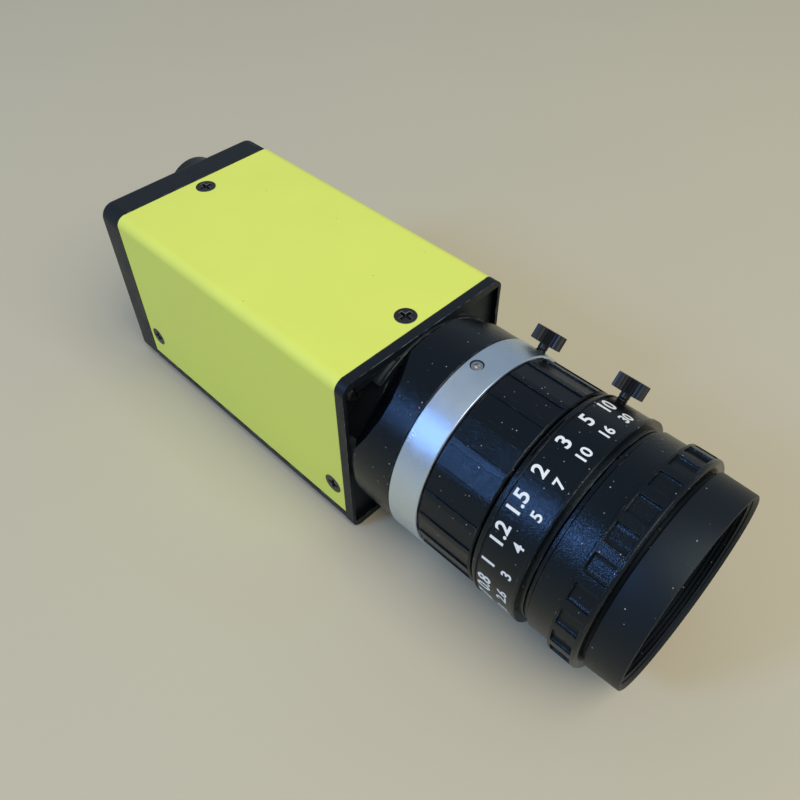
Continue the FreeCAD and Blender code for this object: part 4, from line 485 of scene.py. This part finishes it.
class VISIONCAMERA_OT_castings(Operator):
    """Front frame, rear cap, base plate and lens adapter in black coated metal"""
    bl_idname = "visioncamera.castings"
    bl_label = "Castings"

    def execute(self, context):
        dress("sensor_holder", "rear_cap", "base_plate", "front_housing", "lens_adapter")
        for node in ("front_housing", "rear_cap", "base_plate"):
            softened_copy(node, sizes().edge_round)
        softened_copy("lens_adapter", sizes().ring_break)
        return {"FINISHED"}


class VISIONCAMERA_OT_cover(Operator):
    """Folded sheet cover in lemon powder coat"""
    bl_idname = "visioncamera.cover"
    bl_label = "Cover"

    def execute(self, context):
        dress("top_cover")
        softened_copy("top_cover", sizes().edge_round * 0.8)
        return {"FINISHED"}


class VISIONCAMERA_OT_screws(Operator):
    """Cover, base and frame screws"""
    bl_idname = "visioncamera.screws"
    bl_label = "Screws"

    def execute(self, context):
        dress("cover_screws", "base_screws", "front_screws", "board_screws")
        for node in ("cover_screws", "base_screws"):
            softened_copy(node, sizes().ring_break, skip_holes=False)
        return {"FINISHED"}


def drilled(piece, places, radius):
    """Cut round holes into a turned piece, square to the lens axis."""
    drills = bmesh.new()
    middle, reach = 14, 3.4
    for angle, forward in places:
        bmesh.ops.create_cone(drills, cap_ends=True, segments=48, radius1=radius * MM,
                              radius2=radius * MM, depth=reach * MM,
                              matrix=facing_out(angle, middle, forward))
    mesh = bpy.data.meshes.new("drills")
    drills.to_mesh(mesh)
    drills.free()
    tool = bpy.data.objects.new("drills", mesh)
    bpy.context.scene.collection.objects.link(tool)
    cut = piece.modifiers.new("holes", "BOOLEAN")
    cut.operation, cut.solver, cut.object = "DIFFERENCE", "EXACT", tool
    done = bpy.data.meshes.new_from_object(
        piece.evaluated_get(bpy.context.evaluated_depsgraph_get()))
    piece.modifiers.clear()
    piece.data = done
    done.set_sharp_from_angle(angle=math.radians(SMOOTH_ANGLE))
    bpy.data.objects.remove(tool)


class VISIONCAMERA_OT_mount_ring(Operator):
    """Bare turned ring of the lens mount, with the holes for its screws"""
    bl_idname = "visioncamera.mount_ring"
    bl_label = "Mount ring"

    def execute(self, context):
        outline = [(3.45, 10.0), (3.45, 12.35), (3.75, 12.65), (7.35, 12.65), (7.35, 14.4),
                   (7.39, 14.51), (7.5, 14.6), (11.9, 14.6), (12.01, 14.51), (12.05, 14.4),
                   (12.05, 12.7), (9.7, 12.7), (9.7, 12.0), (8.35, 12.0), (8.35, 10.0)]
        work = bmesh.new()
        turned_piece(work, outline, steps=288)
        dress("lens_mount")
        piece = finished_piece("mount_ring_turned", work, BODY_OF["lens_mount"],
                               SLOT_OF["lens_mount"])
        holes = [(angle, SET_SCREW_FORWARD) for angle in SET_SCREW_ANGLES]
        drilled(piece, holes + [(LOCK_ANGLE, IRIS_LOCK_FORWARD)], SCREW_HOLE_RADIUS)
        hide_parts("lens_mount")
        return {"FINISHED"}


class VISIONCAMERA_OT_lens_rings(Operator):
    """Black lens rings, with softened edges"""
    bl_idname = "visioncamera.lens_rings"
    bl_label = "Lens rings"

    def execute(self, context):
        rings = ("iris_ring", "name_band", "focus_ring")
        dress("inner_barrel", "focus_washer", "guide_key", *rings)
        for node in rings:
            softened_copy(node, sizes().ring_break)
        return {"FINISHED"}


def wrap_text(words, height, angle, forward, radius):
    """A word as a thin raised mesh, bent round the lens with its top towards the camera."""
    text = bpy.data.curves.new("word", "FONT")
    text.body = words
    text.size = height * 1.38
    text.align_x = "CENTER"
    text.offset = height * 0.03
    text.extrude = 0.01 * MM
    holder = bpy.data.objects.new("word", text)
    bpy.context.scene.collection.objects.link(holder)
    flat = bpy.data.meshes.new_from_object(
        holder.evaluated_get(bpy.context.evaluated_depsgraph_get()))
    work = bmesh.new()
    work.from_mesh(flat)
    bpy.data.objects.remove(holder)
    bpy.data.curves.remove(text)
    bpy.data.meshes.remove(flat)
    bmesh.ops.remove_doubles(work, verts=work.verts, dist=0.0005 * MM)
    for corner in work.verts:
        across, up, rise = corner.co
        place = on_lens(angle - math.degrees(across / (radius * MM)),
                        radius + 0.03 + rise / MM, forward)
        corner.co = place + Vector((0, up, 0))
    return work


# The numbers read along the lens's band: the first one's angle and the angle to the last,
# in degrees, the band's radius, and each row's distance in front of the frame, in mm.
FIRST_NUMBER, NUMBERS_TRAVEL = -22.0, 250.0
BAND_RADIUS = 14.5
METRES_FORWARD, FEET_FORWARD = 23.9, 26.3
METRES = ("10", "5", "3", "2", "1.5", "1.2", "1", "0.8", "0.7", "0.6", "0.5", "0.4", "0.3",
          "0.2", "0.1", "m")
FEET = ("30", "16", "10", "7", "5", "4", "3", "2.6", "2.3", "2", "1.6", "1.3", "1", "0.7",
        "0.3", "ft")


class VISIONCAMERA_OT_scale_numbers(Operator):
    """Two rows of plain distance numbers, in metres and feet"""
    bl_idname = "visioncamera.scale_numbers"
    bl_label = "Scale numbers"

    def execute(self, context):
        ink = bmesh.new()
        rows = ((METRES, sizes().number_height, METRES_FORWARD),
                (FEET, sizes().small_number_height, FEET_FORWARD))
        for words, height, forward in rows:
            for place, word in enumerate(words):
                angle = FIRST_NUMBER + NUMBERS_TRAVEL * place / (len(words) - 1)
                letters = wrap_text(word, height, angle, forward, BAND_RADIUS)
                scratch = bpy.data.meshes.new("letters")
                letters.to_mesh(scratch)
                letters.free()
                ink.from_mesh(scratch)
                bpy.data.meshes.remove(scratch)
        finish = grained("white engraving ink", colours().marking, 0.0, 0.5, 0.3, 0.01, 0.04)
        finished_piece("scale_numbers", ink, "camera", "light_white", finish=finish)
        return {"FINISHED"}


def closed_wall(work, edges, shift):
    """Draw a loop of edges out by a vector, and close its far end with a face."""
    wall = bmesh.ops.extrude_edge_only(work, edges=edges)["geom"]
    far = [item for item in wall if isinstance(item, bmesh.types.BMVert)]
    bmesh.ops.translate(work, verts=far, vec=shift)
    far_edges = [item for item in wall if isinstance(item, bmesh.types.BMEdge)
                 and all(end in far for end in item.verts)]
    bmesh.ops.contextual_create(work, geom=far_edges)


class VISIONCAMERA_OT_set_screws(Operator):
    """Three bright socket screws in the mount ring"""
    bl_idname = "visioncamera.set_screws"
    bl_label = "Set screws"

    def execute(self, context):
        work = bmesh.new()
        outer, socket, face_radius = 0.78, 0.42, 14.47
        socket_depth, screw_length, rim_break = 0.6, 1.6, 0.12
        for angle in SET_SCREW_ANGLES:
            turn = facing_out(angle, face_radius, SET_SCREW_FORWARD)
            rim = bmesh.ops.create_circle(work, segments=24, radius=outer * MM,
                                          matrix=turn, cap_ends=False)["verts"]
            hole = bmesh.ops.create_circle(work, segments=6, radius=socket * MM,
                                           matrix=turn, cap_ends=False)["verts"]
            rim_edges = list({edge for corner in rim for edge in corner.link_edges})
            hole_edges = list({edge for corner in hole for edge in corner.link_edges})
            bmesh.ops.bridge_loops(work, edges=rim_edges + hole_edges)
            inward = -(turn.to_3x3() @ Vector((0, 0, 1)))
            closed_wall(work, hole_edges, inward * socket_depth * MM)
            closed_wall(work, rim_edges, inward * screw_length * MM)
            bmesh.ops.bevel(work, geom=rim_edges, offset=rim_break * MM,
                            offset_type="OFFSET", segments=2, profile=0.5, affect="EDGES",
                            material=-1)
        bmesh.ops.recalc_face_normals(work, faces=work.faces)
        dress("mount_set_screws")
        piece = finished_piece("socket_set_screws", work, "camera", "stop_steel",
                               finish=listed_finish("stainless steel"))
        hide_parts("mount_set_screws")
        return {"FINISHED"}


# The thumb screws' heads reach from one radius to another, and their necks start below
# the rings' surface.
HEAD_RADIUS, HEAD_BASE, HEAD_TOP = 2.1, 15.6, 17.55
NECK_RADIUS, NECK_START = 0.66, 12.9
KNURL_TEETH = 26
NECK_PITCH, NECK_GROOVE = 0.35, 0.09


def knurled_head(work, worn_and_highlit):
    """A screw head on the Z axis: alternate corners of a circle drawn in, then raised."""
    rim = bmesh.ops.create_circle(work, segments=KNURL_TEETH * 2, radius=HEAD_RADIUS * MM,
                                  matrix=Matrix.Translation((0, 0, HEAD_BASE * MM)),
                                  cap_ends=True)["verts"]
    shrink = 1 - sizes().knurl_depth / (HEAD_RADIUS * MM)
    bmesh.ops.scale(work, verts=rim[::2], vec=(shrink, shrink, 1))
    base = list({face for corner in rim for face in corner.link_faces})
    raised = bmesh.ops.extrude_face_region(work, geom=base, use_keep_orig=True)["geom"]
    corners = [item for item in raised if isinstance(item, bmesh.types.BMVert)]
    bmesh.ops.translate(work, verts=corners, vec=(0, 0, (HEAD_TOP - HEAD_BASE) * MM))
    bmesh.ops.recalc_face_normals(work, faces=work.faces)
    flats = [face for face in work.faces if len(face.verts) > KNURL_TEETH]
    ends = [edge for face in flats for edge in face.edges]
    # The rounded ends get part of the lighter edge grey: wear and a painted highlight
    end_break, end_wear_and_highlight = 0.05, 0.4
    broken = bmesh.ops.bevel(work, geom=ends, offset=end_break * MM, offset_type="OFFSET",
                             segments=1, profile=0.5, affect="EDGES",
                             clamp_overlap=False, material=-1)["faces"]
    for face in broken:
        face[worn_and_highlit] = end_wear_and_highlight
    middle = [face for face in work.faces if len(face.verts) > KNURL_TEETH
              and face.calc_center_median().z > (HEAD_BASE + HEAD_TOP) / 2 * MM]
    border, dish = 0.45, 0.12
    bmesh.ops.inset_region(work, faces=middle, thickness=border * MM, depth=0)
    bmesh.ops.inset_region(work, faces=middle, thickness=dish * MM, depth=-dish * MM)


def threaded_neck(work):
    """The screw's threaded neck, as fine rings spun round the Z axis."""
    plain_neck, overlap = 0.3, 0.05
    outline = [(0, NECK_START), (NECK_RADIUS, NECK_START)]
    for turn in range(int((HEAD_BASE - plain_neck - NECK_START) / NECK_PITCH)):
        low = NECK_START + turn * NECK_PITCH
        outline += [(NECK_RADIUS, low + NECK_PITCH * 0.3),
                    (NECK_RADIUS - NECK_GROOVE, low + NECK_PITCH * 0.6),
                    (NECK_RADIUS, low + NECK_PITCH * 0.9)]
    outline += [(NECK_RADIUS, HEAD_BASE + overlap), (0, HEAD_BASE + overlap)]
    corners = [work.verts.new((radius * MM, 0, up * MM)) for radius, up in outline]
    edges = [work.edges.new(pair) for pair in zip(corners, corners[1:])]
    bmesh.ops.spin(work, geom=corners + edges, cent=(0, 0, 0), axis=(0, 0, 1),
                   angle=2 * math.pi, steps=32, use_merge=True)
    bmesh.ops.remove_doubles(work, verts=work.verts, dist=MERGE)


class VISIONCAMERA_OT_thumb_screws(Operator):
    """Knurled thumb screws that lock the iris and focus rings"""
    bl_idname = "visioncamera.thumb_screws"
    bl_label = "Thumb screws"

    def execute(self, context):
        dress("iris_lock_pad", "focus_lock_pad")
        for node, forward in (("iris_lock_screw", IRIS_LOCK_FORWARD),
                              ("focus_lock_screw", FOCUS_LOCK_FORWARD)):
            dress(node)
            work = bmesh.new()
            worn_and_highlit = work.faces.layers.float.new("worn_and_highlit")
            knurled_head(work, worn_and_highlit)
            threaded_neck(work)
            bmesh.ops.transform(work, matrix=facing_out(LOCK_ANGLE, 0, forward),
                                verts=work.verts)
            bmesh.ops.recalc_face_normals(work, faces=work.faces)
            piece = finished_piece(node + "_knurled", work, BODY_OF[node], SLOT_OF[node])
            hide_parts(node)
        return {"FINISHED"}


class VISIONCAMERA_OT_hood(Operator):
    """Front barrel and its hood, with fine rings for the filter thread in the mouth"""
    bl_idname = "visioncamera.hood"
    bl_label = "Hood"

    def execute(self, context):
        pitch = sizes().thread_pitch / MM
        depth = sizes().thread_depth / MM
        bore, thread_back, thread_front, mouth = 12.75, 38.5, 40.6, 41.1
        outline = [(20.0, 10.4), (32.5, 10.4), (32.5, 12.95), (36.55, 12.95),
                   (36.55, 13.5), (36.65, 13.6), (40.9, 13.46), (41.03, 13.41),
                   (mouth, 13.28), (mouth, 13.15), (41.06, 13.08), (40.7, bore)]
        for turn in range(int((thread_front - thread_back) / pitch)):
            crest = thread_front - turn * pitch
            outline += [(crest - pitch * 0.1, bore), (crest - pitch * 0.5, bore - depth),
                        (crest - pitch * 0.9, bore)]
        outline += [(thread_back, bore), (thread_back, 11.4), (36.85, 10.3),
                    (32.75, 10.3), (32.75, 9.2), (27.7, 9.2), (24.7, 9.2), (20.0, 9.2)]
        work = bmesh.new()
        turned_piece(work, outline)
        dress("front_barrel")
        piece = finished_piece("hood_and_barrel", work, BODY_OF["front_barrel"],
                               "hood_black", smooth_angle=25)
        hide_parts("front_barrel")
        return {"FINISHED"}


class VISIONCAMERA_OT_optics(Operator):
    """Lens glasses, iris and the parts that hold them"""
    bl_idname = "visioncamera.optics"
    bl_label = "Optics"

    def execute(self, context):
        dress("front_lens", "front_lens_retainer", "inner_lens", "rear_lens",
              "rear_lens_retainer", "iris_drive_pin", "iris_cage", "iris_cam_ring",
              "iris_retainer", *[f"iris_blade_{place}" for place in range(1, 6)])
        return {"FINISHED"}


class VISIONCAMERA_OT_sockets(Operator):
    """Rear network socket, power connector and status light"""
    bl_idname = "visioncamera.sockets"
    bl_label = "Sockets"

    def execute(self, context):
        dress("network_socket", "socket_insert", "socket_contacts", "power_connector_shell",
              "power_connector_nut", "power_connector_insert", "power_connector_pins",
              "status_light_pipe", "status_led")
        return {"FINISHED"}


class VISIONCAMERA_OT_electronics(Operator):
    """Sensor, circuit boards and the heat path inside the body"""
    bl_idname = "visioncamera.electronics"
    bl_label = "Electronics"

    def execute(self, context):
        dress("ir_filter", "filter_seal", "filter_retainer", "sensor_board",
              "processor_board", "board_standoffs", "image_sensor", "sensor_window",
              "circuit_chips", "thermal_pad", "board_connectors", "flex_circuit",
              "heat_spreader", "interface_board")
        return {"FINISHED"}


def aimed(place, target):
    """The turn that points a lamp's or camera's -Z from one place to another."""
    return (Vector(target) - Vector(place)).to_track_quat("-Z", "Y").to_euler()


class VISIONCAMERA_OT_stage(Operator):
    """Pale floor, soft light and the view"""
    bl_idname = "visioncamera.stage"
    bl_label = "Stage"

    def execute(self, context):
        scene = context.scene
        scene.view_settings.view_transform = "Standard"
        board = bmesh.new()
        bmesh.ops.create_grid(board, x_segments=1, y_segments=1, size=1.5)
        mesh = bpy.data.meshes.new("floor")
        board.to_mesh(mesh)
        board.free()
        floor = bpy.data.objects.new("floor", mesh)
        scene.collection.objects.link(floor)
        mesh.materials.append(grained("pale floor board", colours().floor, 0.0, 0.75,
                                      6.0, 0.02, 0.02))

        world = bpy.data.worlds.new("soft room")
        world.use_nodes = True
        tree = world.node_tree
        tree.nodes.clear()
        sky = add_node(tree, "ShaderNodeBackground",
                       {"Color": rgba((0.8, 0.91, 1.0)), "Strength": 0.4})
        add_node(tree, "ShaderNodeOutputWorld", {"Surface": sky.outputs["Background"]})
        scene.world = world

        lamps = (("window light", (0.14, 0.18), 1.8, (-0.54, 0.2, 0.43), "#86B4FF"),
                 ("room light", (0.7, 0.7), 5.6, (-0.07, -0.5, 0.7), "#FFF2DC"))
        for name, (wide, high), power, place, tint in lamps:
            lamp = bpy.data.lights.new(name, "AREA")
            lamp.shape = "RECTANGLE"
            lamp.size, lamp.size_y = wide, high
            lamp.energy = power
            lamp.color = linear(tint)
            holder = bpy.data.objects.new(name, lamp)
            holder.location = place
            holder.rotation_euler = aimed(place, (0, -0.02, 0.01))
            scene.collection.objects.link(holder)

        view = bpy.data.cameras.new("view")
        view.lens, view.sensor_width = 35.0375, 36
        view.clip_start = 0.001
        eye = bpy.data.objects.new("view", view)
        eye.location = [value * MM for value in (-53.4588, -75.6835, 94.4446)]
        eye.rotation_euler = [math.radians(value) for value in (42.6644, 0.369, -45.2754)]
        scene.collection.objects.link(eye)
        scene.camera = eye
        return {"FINISHED"}


class VISIONCAMERA_PT_panel(Panel):
    """Sizes, colours and the steps that make the camera"""
    bl_idname = "VISIONCAMERA_PT_panel"
    bl_label = "Vision Camera"
    bl_space_type = "VIEW_3D"
    bl_region_type = "UI"
    bl_category = "Vision Camera"

    def draw(self, context):
        for group in (context.scene.vision_camera_sizes, context.scene.vision_camera_colours):
            for name in group.__annotations__:
                self.layout.prop(group, name)
        for step in STEPS:
            self.layout.operator(step.bl_idname)


STEPS = (VISIONCAMERA_OT_castings, VISIONCAMERA_OT_cover, VISIONCAMERA_OT_screws,
         VISIONCAMERA_OT_mount_ring, VISIONCAMERA_OT_lens_rings,
         VISIONCAMERA_OT_scale_numbers, VISIONCAMERA_OT_set_screws,
         VISIONCAMERA_OT_thumb_screws, VISIONCAMERA_OT_hood, VISIONCAMERA_OT_optics,
         VISIONCAMERA_OT_sockets, VISIONCAMERA_OT_electronics, VISIONCAMERA_OT_stage)
CLASSES = (VisionCameraColours, VisionCameraSizes, *STEPS, VISIONCAMERA_PT_panel)


def register():
    for item in CLASSES:
        bpy.utils.register_class(item)
    bpy.types.Scene.vision_camera_colours = PointerProperty(type=VisionCameraColours)
    bpy.types.Scene.vision_camera_sizes = PointerProperty(type=VisionCameraSizes)


def unregister():
    del bpy.types.Scene.vision_camera_sizes
    del bpy.types.Scene.vision_camera_colours
    for item in reversed(CLASSES):
        bpy.utils.unregister_class(item)


def main():
    register()
    for step in STEPS:
        family, action = step.bl_idname.split(".")
        getattr(getattr(bpy.ops, family), action)()


if __name__ == "__main__":
    main()
